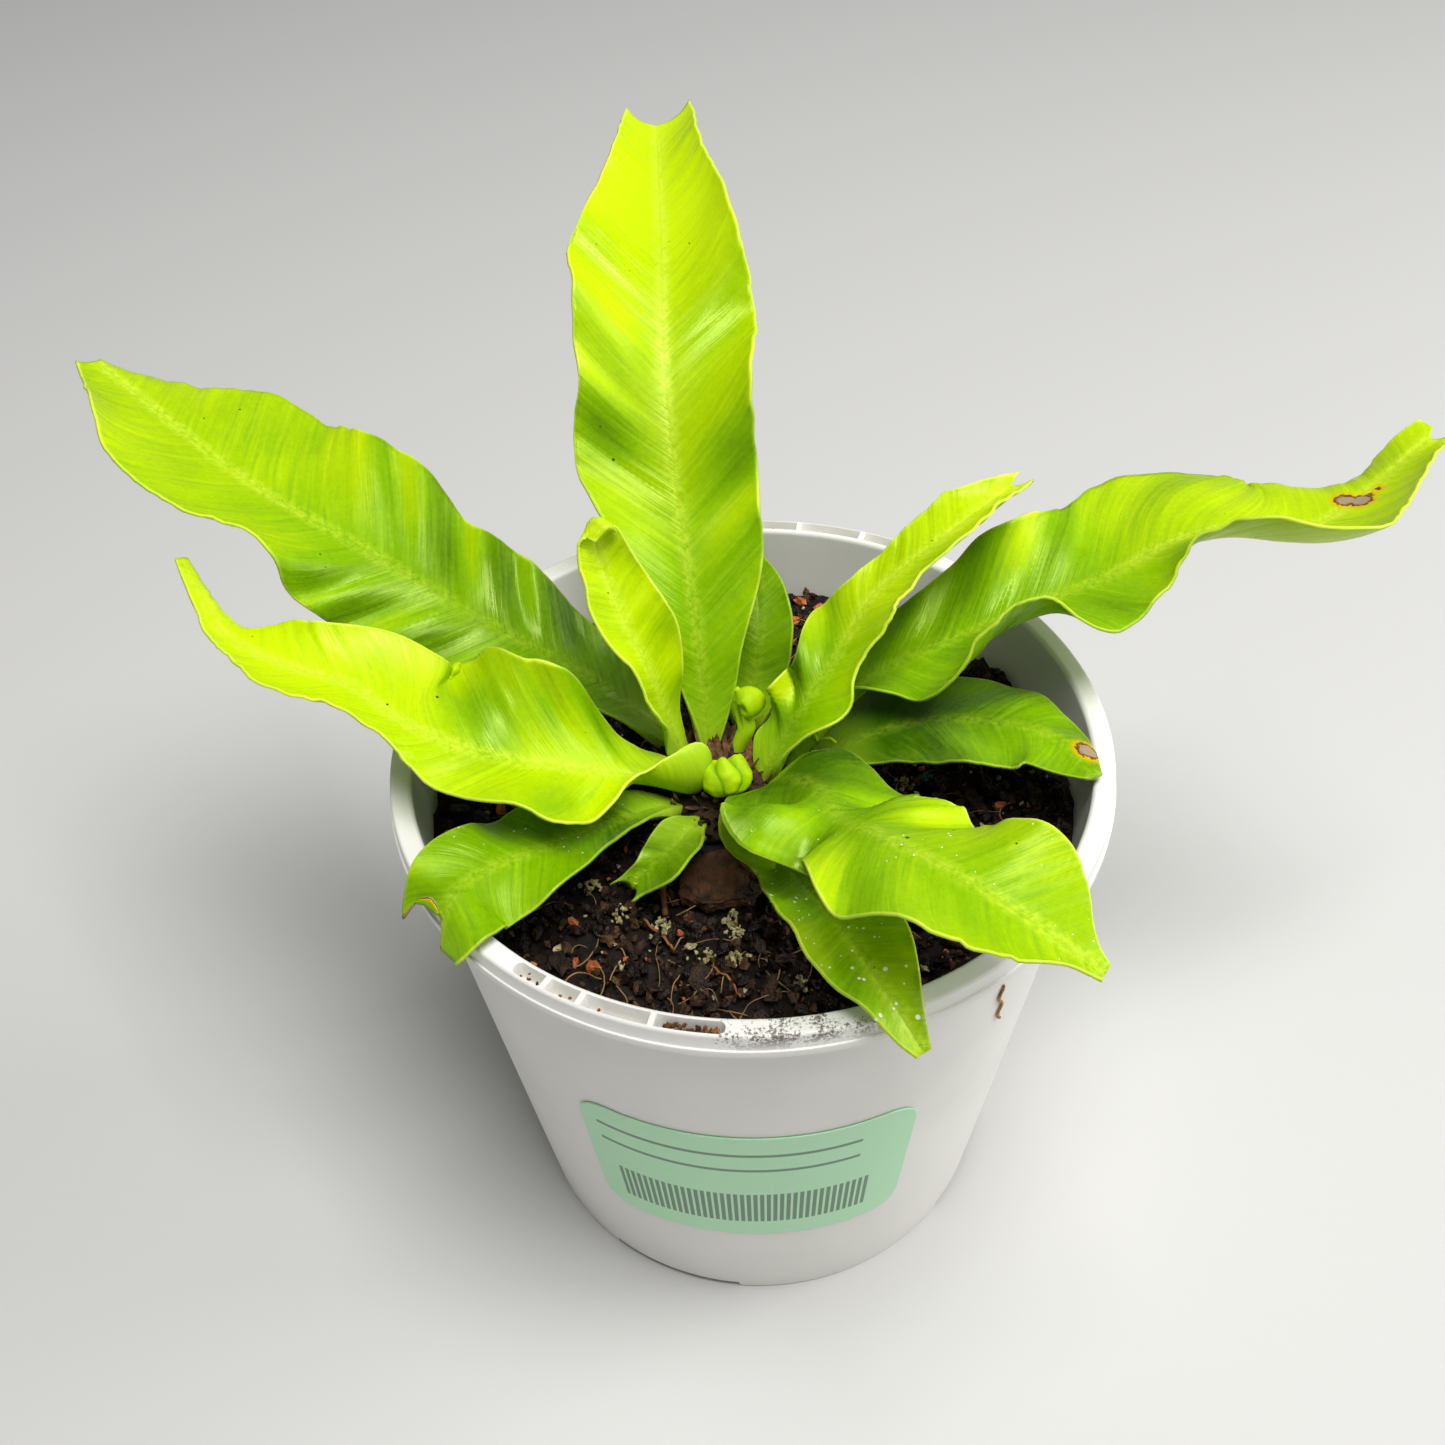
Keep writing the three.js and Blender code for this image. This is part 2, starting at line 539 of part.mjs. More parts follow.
function crozierTall(clearance = 0) {
  const { foot, neck, head, coil, fold } = CROZIER_TALL;
  let body = stalk(foot, neck, CROZIER_TALL.stalk + clearance);
  if (clearance) return body;
  const rolls = 6;
  for (let k = 0; k <= rolls; k++) {
    const turn = radians(-170 - 52 * k);
    const reach = coil - 0.2 * k;
    const centre = [head[0] + reach * Math.cos(turn), head[1], head[2] + reach * Math.sin(turn)];
    body = body.add(ball(centre, fold - 0.05 * k, [1, 1.3, 1]));
  }
  return body.add(stalk(neck, [head[0] - coil, head[1], head[2]], CROZIER_TALL.stalk));
}

function crozierLow(clearance = 0) {
  const { foot, neck, head, pleats } = CROZIER_LOW;
  const body = stalk(foot, neck, CROZIER_LOW.stalk + clearance);
  if (clearance) return body;
  const knob = new THREE.SphereGeometry(CROZIER_LOW.knob, 4 * pleats, 10).rotateX(Math.PI / 2);
  const position = knob.attributes.position;
  for (let i = 0; i < position.count; i++) {
    const [x, y, z] = [position.getX(i), position.getY(i), position.getZ(i)];
    const pleat = 1 + 0.07 * Math.cos(pleats * Math.atan2(y, x)) * Math.min(1, Math.hypot(x, y) / 2);
    position.setXYZ(i, x * pleat, y * pleat, z * (z > 0 ? 0.8 : 1));
  }
  return body.add(solid(knob.translate(...head)));
}

// A thin flat chip of bark that lies on the mix in front of the crown.
function barkChip() {
  const outline = new THREE.Shape([[-6, -3], [-2, -5], [4, -4.5], [6.5, -1], [5, 3.5], [0, 4.5], [-5, 3]]
    .map(([x, y]) => new THREE.Vector2(x, y)));
  const bevel = 0.4;
  const options = { depth: CHIP_THICKNESS, bevelSize: bevel, bevelThickness: bevel, bevelSegments: 1 };
  return new THREE.ExtrudeGeometry(outline, options);
}

// The label: a thin sticker with round corners, curved to the wall.
function label() {
  const steps = 24;
  const front = [];
  const back = [];
  for (let i = 0; i <= steps; i++) {
    const across = ((i / steps) * 2 - 1) * (LABEL_WIDTH / 2);
    const inCorner = Math.max(0, Math.abs(across) - (LABEL_WIDTH / 2 - LABEL_CORNER));
    const cut = LABEL_CORNER - 0.98 * Math.sqrt(Math.max(0, LABEL_CORNER ** 2 - inCorner ** 2));
    const column = [LABEL_TOP - cut, LABEL_BOTTOM + cut].map((z) => {
      const radius = wallRadius(z) + LABEL_GAP;
      const turn = radians(LABEL_MIDDLE) + across / wallRadius((LABEL_TOP + LABEL_BOTTOM) / 2);
      return [radius, turn, z];
    });
    const at = ([radius, turn, z], out) =>
      new THREE.Vector3((radius + out) * Math.cos(turn), (radius + out) * Math.sin(turn), z);
    front.push(column.map((place) => at(place, LABEL_THICKNESS)));
    back.push(column.map((place) => at(place, 0)));
  }
  return slab(front, back);
}

const plant = new THREE.Group();
const green = new THREE.Color(0x9ccc12);
const deepGreen = new THREE.Color(0x5f9410);
const lowFronds = ["frond_right_low", "frond_front", "frond_front_left", "frond_small_forked",
  "frond_behind"];

for (const [name, shape] of Object.entries(FRONDS)) {
  plant.add(part(name, frond(shape), lowFronds.includes(name) ? deepGreen : green, 0.45));
}
plant.add(part("crozier_tall", geometryOf(crozierTall()), green, 0.5));
plant.add(part("crozier_low", geometryOf(crozierLow()), green, 0.5));

const sockets = Object.values(FRONDS).map((shape) => solid(frond(shape, GAP)));
sockets.push(crozierTall(GAP), crozierLow(GAP));
plant.add(part("crown", geometryOf(crown(sockets)), 0x6b4426, 0.9));
plant.add(part("potting_mix", geometryOf(pottingMix()), 0x2a211b, 0.95));

const chip = part("bark_chip", barkChip(), 0x3a2c22, 0.85);
chip.position.copy(CHIP_PLACE);
chip.rotation.set(radians(3), radians(-2), radians(8));
plant.add(chip);

const holder = new THREE.Group();
holder.add(part("pot", pot(), 0xdcdcdc, 0.35));
holder.add(part("label", label(), 0xb9ecc0, 0.5));

const object = new THREE.Group();
object.add(holder, plant);
export default object;
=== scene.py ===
import math
import random

import bpy
import numpy as np
from mathutils import Matrix, Vector, noise


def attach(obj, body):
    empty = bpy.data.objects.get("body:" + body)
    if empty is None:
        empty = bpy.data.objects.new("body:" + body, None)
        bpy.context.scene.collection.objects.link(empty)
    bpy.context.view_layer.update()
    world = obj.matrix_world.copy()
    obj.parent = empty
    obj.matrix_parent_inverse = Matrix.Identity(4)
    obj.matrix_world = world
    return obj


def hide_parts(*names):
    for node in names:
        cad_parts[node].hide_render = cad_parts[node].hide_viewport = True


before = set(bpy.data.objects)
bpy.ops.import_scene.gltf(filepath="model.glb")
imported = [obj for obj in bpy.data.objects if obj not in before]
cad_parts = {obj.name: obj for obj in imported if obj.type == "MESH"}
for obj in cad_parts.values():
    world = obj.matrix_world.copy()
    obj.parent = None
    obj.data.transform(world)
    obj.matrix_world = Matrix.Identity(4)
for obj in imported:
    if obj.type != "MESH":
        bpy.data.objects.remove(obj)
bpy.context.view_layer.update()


# The view: a camera held above the pot and in front of it, which looks down on the fern. The pot
# stands on a plain pale floor, under a large soft lamp, a window and the light of a pale room.
MM = 0.001
CAMERA_PLACE = (10.5, -173.4, 262.3)
CAMERA_YAW = -4.78
CAMERA_DIP = 44.18
CAMERA_ROLL = -2.21
LENS = 42
FLOOR_RADIUS = 4.0
FERN_MIDDLE = Vector((0, 0, 0.1))
# Each lamp's name, its place and breadth in metres, and its power in watts.
LAMPS = (("ceiling lamp", (0.12, -0.2, 1.0), 0.45, 10.0),
         ("window", (0.85, 0.15, 0.5), 0.5, 5.0))
ROOM_LIGHT = 0.2


def rgb(code):
    """A colour written as sRGB hex, as the linear values that a shader takes."""
    parts = [int(code[i:i + 2], 16) / 255 for i in (1, 3, 5)]
    return [p / 12.92 if p <= 0.04045 else ((p + 0.055) / 1.055) ** 2.4 for p in parts] + [1.0]


def new_material(name):
    """A new material, its tree, and its main shader."""
    material = bpy.data.materials.new(name)
    material.use_nodes = True
    tree = material.node_tree
    return material, tree, tree.nodes["Principled BSDF"]


def primitive(adder, name, **settings):
    """Adds one of Blender's primitives with nothing else selected, and names it."""
    bpy.ops.object.select_all(action="DESELECT")
    adder(**settings)
    piece = bpy.context.object
    piece.name = name
    piece.data.name = name
    return piece


floor = primitive(bpy.ops.mesh.primitive_circle_add, "floor", vertices=96, radius=FLOOR_RADIUS,
                  fill_type="NGON")
# Matt wall paint: an even pale grey that takes soft shadows and shows no reflections.
floor_paint, tree, shader = new_material("pale matt paint")
shader.inputs["Base Color"].default_value = rgb("#cdccc9")
shader.inputs["Roughness"].default_value = 0.85
floor.data.materials.append(floor_paint)

yaw, dip, roll = (math.radians(a) for a in (CAMERA_YAW, CAMERA_DIP, CAMERA_ROLL))
ahead = Vector((math.sin(yaw) * math.cos(dip), math.cos(yaw) * math.cos(dip), -math.sin(dip)))
level = Vector((math.cos(yaw), -math.sin(yaw), 0))
upright = level.cross(ahead)
right = math.cos(roll) * level + math.sin(roll) * upright
up = math.cos(roll) * upright - math.sin(roll) * level
camera_data = bpy.data.cameras.new("camera")
camera_data.lens = LENS
camera_data.clip_start = 0.01
camera = bpy.data.objects.new("camera", camera_data)
bpy.context.collection.objects.link(camera)
turn = Matrix((right, up, -ahead)).transposed().to_4x4()
camera.matrix_world = Matrix.Translation(Vector(CAMERA_PLACE) * MM) @ turn
bpy.context.scene.camera = camera
bpy.context.scene.view_settings.view_transform = "Standard"

for name, place, breadth, power in LAMPS:
    lamp_data = bpy.data.lights.new(name, "AREA")
    lamp_data.energy = power
    lamp_data.size = breadth
    lamp = bpy.data.objects.new(name, lamp_data)
    lamp.location = place
    lamp.rotation_euler = (FERN_MIDDLE - Vector(place)).to_track_quat("-Z", "Y").to_euler()
    bpy.context.collection.objects.link(lamp)
room = bpy.data.worlds.new("pale room")
room.use_nodes = True
room.node_tree.nodes["Background"].inputs["Color"].default_value = rgb("#e9ecef")
room.node_tree.nodes["Background"].inputs["Strength"].default_value = ROOM_LIGHT
bpy.context.scene.world = room


# The pot: one injection moulding in off-white polypropylene. Its thick rim is turned out and
# holds two rows of open label slots, and it stands on a notched foot ring.
POT_HEIGHT = 90
POT_SIDES = 360
RIM_RADIUS = 52.5
RIM_DROP = 4.2
RIM_FILLET = 0.25
LIP_RADIUS = 49
LIP_ROUND = 0.8
LEDGE = 0.35
LEDGE_HEIGHT = 87.3
LEDGE_ROUND = 0.12
TOP_ROUND = 0.5
FOOT_RADIUS = 38.3
FOOT_WIDTH = 5
FOOT_HEIGHT = 2
FOOT_BEVEL = 0.2
EDGE_ROUND = 0.35
PAD_RADIUS = 7
BASE_THICKNESS = 1.6
BASE_FILLET = 1
WALL = 1.2
WALL_TOP_RADIUS = 50.1
WALL_LEVELS = (20, 40, 60)
STEP_HEIGHT = 78
STEP = 0.3
STEP_FADE = 0.15
SLOT_INNER = 49.8
SLOT_OUTER = 51.7
SLOT_DEPTH = 3.2
SLOT_END_ROUND = 0.85
SLOT_EDGE_ROUND = 0.18
# Where the open stretches of the two slot rows start and end, in degrees.
SLOT_STRETCHES = [(-124, -119), (-118, -113), (-112, -102), (-101, -91), (65, 71), (72, 83),
                  (84, 91), (92, 97)]
NOTCH_MIDDLES = (71, 161, 251, 341)
NOTCH_SIZE = (FOOT_WIDTH + 3.5, 22, 3)
DRAIN_COUNT = 5
DRAIN_RING = 22
DRAIN_RADIUS = 3.5
TOUCH = 0.05


def add(tree, kind, inputs=(), **settings):
    """Adds a node with its settings, its values and what is linked into it."""
    node = tree.nodes.new("ShaderNode" + kind)
    for name, value in settings.items():
        setattr(node, name, value)
    for key, value in dict(inputs).items():
        if isinstance(value, bpy.types.NodeSocket):
            tree.links.new(value, node.inputs[key])
        else:
            node.inputs[key].default_value = value
    return node


def take(piece):
    """Selects one piece alone, as the one that the next operator works on."""
    bpy.ops.object.select_all(action="DESELECT")
    piece.select_set(True)
    bpy.context.view_layer.objects.active = piece


def bake_place(piece):
    """Puts a piece's place into its mesh, so that its object sits at the origin."""
    take(piece)
    bpy.ops.object.transform_apply(location=True, rotation=True, scale=True)


def smooth(piece, angle):
    """Shades a piece smooth, with a crease where two faces meet at more than an angle."""
    take(piece)
    bpy.ops.object.shade_smooth_by_angle(angle=math.radians(angle))


def apply_modifier(piece, kind, **settings):
    """Adds a modifier with its settings and applies it to the mesh."""
    take(piece)
    modifier = piece.modifiers.new(kind.title(), kind)
    for name, value in settings.items():
        setattr(modifier, name, value)
    bpy.ops.object.modifier_apply(modifier=modifier.name)


def belongs(piece, slot, *nodes):
    """Ties a finished piece to the object's one body and hides the parts of the model that it
    stands for. The slot is not used.
    """
    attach(piece, "root")
    if nodes:
        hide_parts(*nodes)


def wall_radius(z):
    """The outside radius of the pot's wall at a height."""
    slope = (WALL_TOP_RADIUS - STEP - FOOT_RADIUS) / (POT_HEIGHT - RIM_DROP)
    return FOOT_RADIUS + slope * z + (STEP if z > STEP_HEIGHT else 0)


def corner(r, z, radius, start, end, steps=4):
    """The points of a rounded corner about a centre, from one direction to another."""
    angles = [math.radians(start + (end - start) * k / steps) for k in range(steps + 1)]
    return [(r + radius * math.cos(a), z + radius * math.sin(a)) for a in angles]


def pulled_ring(name, profile, sides):
    """A ring of edges pulled through a profile of (radius, height) in mm, closed at both ends."""
    r, z = profile[0]
    piece = primitive(bpy.ops.mesh.primitive_circle_add, name, vertices=sides, radius=r * MM,
                      location=(0, 0, z * MM))
    bpy.ops.object.mode_set(mode="EDIT")
    bpy.ops.mesh.edge_face_add()
    bpy.ops.mesh.select_mode(type="EDGE")
    for next_r, next_z in profile[1:]:
        lift = {"value": (0, 0, (next_z - z) * MM)}
        bpy.ops.mesh.extrude_edges_move(TRANSFORM_OT_translate=lift)
        bpy.ops.transform.resize(value=(next_r / r, next_r / r, 1))
        r, z = next_r, next_z
    bpy.ops.mesh.edge_face_add()
    bpy.ops.mesh.select_all(action="SELECT")
    bpy.ops.mesh.normals_make_consistent(inside=False)
    bpy.ops.object.mode_set(mode="OBJECT")
    bake_place(piece)
    return piece


def pick(piece, kind, test):
    """In edit mode, selects the faces or edges that pass a test, and nothing else."""
    bpy.ops.mesh.select_mode(type=kind)
    bpy.ops.mesh.select_all(action="DESELECT")
    bpy.ops.object.mode_set(mode="OBJECT")
    for item in (piece.data.polygons if kind == "FACE" else piece.data.edges):
        item.select = test(item)
    bpy.ops.object.mode_set(mode="EDIT")


def turn_of(point):
    """How far round the pot a point lies, in degrees."""
    return math.degrees(math.atan2(point.y, point.x))


rim_bottom = POT_HEIGHT - RIM_DROP
base_top = FOOT_HEIGHT + BASE_THICKNESS
foot_inner = FOOT_RADIUS - FOOT_WIDTH
edge_radius = RIM_RADIUS - LEDGE
pot_profile = [
    (PAD_RADIUS, 0), (PAD_RADIUS, FOOT_HEIGHT), (foot_inner, FOOT_HEIGHT),
    (foot_inner, FOOT_BEVEL), (foot_inner + FOOT_BEVEL, 0),
    (FOOT_RADIUS - EDGE_ROUND, 0), (wall_radius(EDGE_ROUND), EDGE_ROUND),
    *((wall_radius(z), z) for z in (*WALL_LEVELS, STEP_HEIGHT - STEP_FADE)),
    (wall_radius(STEP_HEIGHT + STEP_FADE), STEP_HEIGHT + STEP_FADE),
    (WALL_TOP_RADIUS - STEP_FADE, rim_bottom - RIM_FILLET),
    (WALL_TOP_RADIUS + RIM_FILLET, rim_bottom),
    *corner(RIM_RADIUS - EDGE_ROUND, rim_bottom + EDGE_ROUND, EDGE_ROUND, -90, 0),
    *corner(RIM_RADIUS - LEDGE_ROUND, LEDGE_HEIGHT - LEDGE_ROUND, LEDGE_ROUND, 0, 90, 3),
    (edge_radius + 0.05, LEDGE_HEIGHT), (edge_radius, LEDGE_HEIGHT + 0.1),
    *corner(edge_radius - TOP_ROUND, POT_HEIGHT - TOP_ROUND, TOP_ROUND, 0, 90, 6),
    *corner(LIP_RADIUS + LIP_ROUND, POT_HEIGHT - LIP_ROUND, LIP_ROUND, 90, 180, 6),
    (wall_radius(STEP_HEIGHT) - WALL, STEP_HEIGHT),
    (wall_radius(base_top + BASE_FILLET) - WALL, base_top + BASE_FILLET),
    (wall_radius(base_top) - WALL - BASE_FILLET, base_top), (1, base_top)]
pot = pulled_ring("pot_shell", pot_profile, POT_SIDES)


def in_slot(face):
    """Whether a face of the rim's top lies in an open stretch of a slot row."""
    c = face.center / MM
    flat = abs(c.z - POT_HEIGHT) < TOUCH and SLOT_INNER < math.hypot(c.x, c.y) < SLOT_OUTER
    return flat and any(a < turn_of(c) < b for a, b in SLOT_STRETCHES)


bpy.ops.object.mode_set(mode="EDIT")
pick(pot, "FACE", in_slot)
sink = {"value": (0, 0, -SLOT_DEPTH * MM)}
bpy.ops.mesh.extrude_region_move(TRANSFORM_OT_translate=sink)
row_ends = [SLOT_STRETCHES[0][0], SLOT_STRETCHES[3][1], SLOT_STRETCHES[4][0], SLOT_STRETCHES[7][1]]


def upright_at_row_end(edge):
    """Whether an edge stands upright in a slot, at an end of a slot row."""
    a, b = (pot.data.vertices[i].co / MM for i in edge.vertices)
    tall = abs(abs(a.z - b.z) - SLOT_DEPTH) < TOUCH and math.hypot(a.x - b.x, a.y - b.y) < TOUCH
    return tall and min(abs(turn_of(a) - t) for t in row_ends) < 0.3


pick(pot, "EDGE", upright_at_row_end)
bpy.ops.mesh.bevel(offset=SLOT_END_ROUND * MM, segments=6, affect="EDGES")
bpy.ops.object.mode_set(mode="OBJECT")
slot_walls = [p for p in pot.data.polygons
              if abs(p.normal.z) < 0.1 and POT_HEIGHT - 3 < p.center.z / MM < POT_HEIGHT - 1
              and SLOT_INNER - 0.1 < math.hypot(p.center.x, p.center.y) / MM < SLOT_OUTER + 0.1]
wall_keys = {key for p in slot_walls for key in p.edge_keys}
bpy.ops.object.mode_set(mode="EDIT")
pick(pot, "EDGE", lambda e: e.key in wall_keys
     and min(pot.data.vertices[i].co.z for i in e.vertices) > (POT_HEIGHT - 0.02) * MM)
bpy.ops.mesh.bevel(offset=SLOT_EDGE_ROUND * MM, segments=2, affect="EDGES")
bpy.ops.object.mode_set(mode="OBJECT")

cutters = []
for middle in NOTCH_MIDDLES:
    a = math.radians(middle)
    reach = FOOT_RADIUS - FOOT_WIDTH / 2 - 0.2
    cutter = primitive(bpy.ops.mesh.primitive_cube_add, "notch", size=MM,
                       location=(reach * math.cos(a) * MM, reach * math.sin(a) * MM, 0),
                       rotation=(0, 0, a), scale=NOTCH_SIZE)
    cutters.append(cutter)
for k in range(DRAIN_COUNT):
    a = math.radians(360 / DRAIN_COUNT * k + 90)
    x, y = DRAIN_RING * math.cos(a), DRAIN_RING * math.sin(a)
    cutter = primitive(bpy.ops.mesh.primitive_cylinder_add, "drain", vertices=40,
                       radius=DRAIN_RADIUS * MM, depth=10 * MM, location=(x * MM, y * MM, 3 * MM))
    cutters.append(cutter)
for cutter in cutters:
    apply_modifier(pot, "BOOLEAN", object=cutter, operation="DIFFERENCE", solver="EXACT")
    bpy.data.objects.remove(cutter)
smooth(pot, 32)

# Injection-moulded polypropylene: it looks off-white and slightly waxy, with a soft wide
# highlight. Fine wear dulls it unevenly, and soil has dusted the front of the rim with specks.
# Its haze is 18 mm broad, the scuffs 1.4 mm, the drifts of soil 5 mm and the specks 0.45 mm.
plastic, tree, shader = new_material("moulded polypropylene")
coords = add(tree, "TexCoord").outputs["Object"]
haze = add(tree, "TexNoise", {"Vector": coords, "Scale": 1 / (18 * MM), "Detail": 4.0})
scuffs = add(tree, "TexNoise", {"Vector": coords, "Scale": 1 / (1.4 * MM), "Detail": 3.0})
tint = add(tree, "Mix", {0: haze.outputs["Fac"], 6: rgb("#e4e2dc"), 7: rgb("#f2f0ea")},
           data_type="RGBA")
place = add(tree, "SeparateXYZ", {"Vector": coords})
drift = add(tree, "TexNoise", {"Vector": coords, "Scale": 1 / (5 * MM), "Detail": 3.0})
grains = add(tree, "TexNoise", {"Vector": coords, "Scale": 1 / (0.45 * MM), "Detail": 3.0,
                                "Roughness": 0.7})
on_rim = add(tree, "MapRange", {"Value": place.outputs["Z"], "From Min": 87 * MM,
                                "From Max": 89.5 * MM})
front = add(tree, "MapRange", {"Value": place.outputs["Y"], "From Min": -42 * MM,
                               "From Max": -49 * MM})
side = add(tree, "MapRange", {"Value": place.outputs["X"], "From Min": -5 * MM,
                              "From Max": 2 * MM})
smear = add(tree, "Math", {0: front.outputs[0], 1: side.outputs[0]}, operation="MULTIPLY")
smear = add(tree, "MapRange", {"Value": smear.outputs[0], "To Min": 0.1, "To Max": 0.4})
heavy = add(tree, "MapRange", {"Value": drift.outputs["Fac"], "From Min": 0.35, "From Max": 0.65,
                               "To Min": -0.16, "To Max": 0.16})
cover = add(tree, "Math", {0: smear.outputs[0], 1: heavy.outputs[0]})
cover = add(tree, "Math", {0: cover.outputs[0], 1: grains.outputs["Fac"]})
dirt = add(tree, "MapRange", {"Value": cover.outputs[0], "From Min": 0.9, "From Max": 1.0})
dirt = add(tree, "Math", {0: dirt.outputs[0], 1: on_rim.outputs[0]}, operation="MULTIPLY")
dirt = add(tree, "Math", {0: dirt.outputs[0], 1: 0.85}, operation="MULTIPLY")
colour = add(tree, "Mix", {0: dirt.outputs[0], 6: tint.outputs[2], 7: rgb("#4a2f1c")},
             data_type="RGBA")
tree.links.new(colour.outputs[2], shader.inputs["Base Color"])
wear = add(tree, "MapRange", {"Value": scuffs.outputs["Fac"], "To Min": 0.34, "To Max": 0.52})
tree.links.new(wear.outputs[0], shader.inputs["Roughness"])
skin = add(tree, "Bump", {"Height": scuffs.outputs["Fac"], "Strength": 0.05, "Distance": 0.2 * MM})
tree.links.new(skin.outputs[0], shader.inputs["Normal"])
shader.inputs["IOR"].default_value = 1.49
shader.inputs["Subsurface Weight"].default_value = 0.12
shader.inputs["Subsurface Radius"].default_value = (1.0, 1.0, 1.0)
shader.inputs["Subsurface Scale"].default_value = 1.2 * MM
pot.data.materials.append(plastic)
belongs(pot, "pot_plastic", "pot")


# The label: a mint green paper sticker with round corners, stuck to the front of the wall. It
# carries two plain ruled lines above a row of even bars.
LABEL_WIDTH = 49
LABEL_BOTTOM = 23.5
LABEL_TOP = 57.5
LABEL_MIDDLE = -89
LABEL_CORNER = 5
LABEL_THICKNESS = 0.25
LABEL_GAP = 0.1
BAR_PITCH = 1.5
BARS_BOTTOM = 28.5
BARS_TOP = 38.5
BARS_REACH = 19.5
# Where each ruled line starts and ends, in height and then across the label.
RULE_HEIGHTS = ((51.6, 52.4), (46.6, 47.4))
RULE_ENDS = (-21, 17)
INK_STRENGTH = 0.85

label = primitive(bpy.ops.mesh.primitive_grid_add, "label_sheet", x_subdivisions=96,
                  y_subdivisions=24, size=2)
label_radius = wall_radius((LABEL_TOP + LABEL_BOTTOM) / 2)
for vertex, spot in zip(label.data.vertices, [v.co.copy() for v in label.data.vertices]):
    across = spot.x * LABEL_WIDTH / 2
    in_corner = max(0, abs(across) - (LABEL_WIDTH / 2 - LABEL_CORNER))
    cut = LABEL_CORNER - math.sqrt(max(0, LABEL_CORNER ** 2 - in_corner ** 2))
    z = (LABEL_TOP + LABEL_BOTTOM) / 2 + spot.y * ((LABEL_TOP - LABEL_BOTTOM) / 2 - cut)
    a = math.radians(LABEL_MIDDLE) + across / label_radius
    r = wall_radius(z) + LABEL_GAP + LABEL_THICKNESS
    vertex.co = Vector((r * math.cos(a), r * math.sin(a), z)) * MM
across_label = label.data.attributes.new("across_mm", "FLOAT", "POINT")
across_label.data.foreach_set("value", [math.atan2(v.co.x, -v.co.y) * label_radius
                                        for v in label.data.vertices])
apply_modifier(label, "SOLIDIFY", thickness=LABEL_THICKNESS * MM, offset=-1)
smooth(label, 40)

# Coated label paper: an even mint colour with a low sheen and a faint fibre grain, 0.5 mm broad.
# The marks are grey-green ink printed flat.
paper, tree, shader = new_material("coated label paper")
coords = add(tree, "TexCoord").outputs["Object"]
height = add(tree, "SeparateXYZ", {"Vector": coords}).outputs["Z"]
across = add(tree, "Attribute", attribute_name="across_mm").outputs["Fac"]


def band(value, low, high, soft):
    """1 where a value lies between two limits and 0 elsewhere, with soft ends."""
    rise = add(tree, "MapRange", {"Value": value, "From Min": low - soft, "From Max": low + soft})
    fall = add(tree, "MapRange", {"Value": value, "From Min": high + soft,
                                  "From Max": high - soft})
    both = add(tree, "Math", {0: rise.outputs[0], 1: fall.outputs[0]}, operation="MULTIPLY")
    return both.outputs[0]


beat = add(tree, "Math", {0: across, 1: BAR_PITCH}, operation="WRAP")
beat = add(tree, "Math", {0: beat.outputs[0], 1: BAR_PITCH}, operation="DIVIDE")
bars = add(tree, "Math", {0: band(beat.outputs[0], 0.25, 0.75, 0.03),
                          1: band(height, BARS_BOTTOM * MM, BARS_TOP * MM, 0.1 * MM)},
           operation="MULTIPLY")
bars = add(tree, "Math", {0: bars.outputs[0], 1: band(across, -BARS_REACH, BARS_REACH, 0.05)},
           operation="MULTIPLY")
upper, lower = (band(height, low * MM, high * MM, 0.1 * MM) for low, high in RULE_HEIGHTS)
lines = add(tree, "Math", {0: upper, 1: lower}, operation="MAXIMUM")
lines = add(tree, "Math", {0: lines.outputs[0], 1: band(across, *RULE_ENDS, 0.05)},
            operation="MULTIPLY")
ink = add(tree, "Math", {0: bars.outputs[0], 1: lines.outputs[0]}, operation="MAXIMUM")
ink = add(tree, "Math", {0: ink.outputs[0], 1: INK_STRENGTH}, operation="MULTIPLY")
fibre = add(tree, "TexNoise", {"Vector": coords, "Scale": 1 / (0.5 * MM), "Detail": 2.0})
stock = add(tree, "Mix", {0: fibre.outputs["Fac"], 6: rgb("#b4e9bb"), 7: rgb("#c2f1c7")},
            data_type="RGBA")
colour = add(tree, "Mix", {0: ink.outputs[0], 6: stock.outputs[2], 7: rgb("#4c6c58")},
             data_type="RGBA")
tree.links.new(colour.outputs[2], shader.inputs["Base Color"])
grain = add(tree, "Bump", {"Height": fibre.outputs["Fac"], "Strength": 0.1,
                           "Distance": 0.05 * MM})
tree.links.new(grain.outputs[0], shader.inputs["Normal"])
shader.inputs["Roughness"].default_value = 0.45
label.data.materials.append(paper)
belongs(label, "label", "label")


# The potting mix: composted pine bark, coarse and dark, which fills the pot and has settled a
# little below the rim. Its bed is lumpy, and loose crumbs, chips and grit lie on it.
MIX_LEVEL = 78.6
MIX_GAP = 0.6
MIX_RINGS = 110
MIX_ROUGHNESS = 1.1
MOUND_HEIGHT = 1.2
MOUND_SPREAD = 500
CROWN_CENTRE = (-4, 0)
CROWN_RADIUS = 11.5
CHIP_PLACE = (-3.5, -18.8, 80.4)
CHIP_REACH = 7
LUMP_COUNT = 46
LUMP_REACH = 46
LUMP_SIZES = (2.2, 4.4)
LUMP_RISES = (0.5, 1.6)
GRAINS_PER_CLUMP = 24
GOLDEN_ANGLE = math.pi * (3 - math.sqrt(5))


def chance(n):
    """A value from 0 to 1 for a number, the same each time."""
    x = math.sin(n * 127.1 + 3.7) * 43758.5453
    return x - math.floor(x)


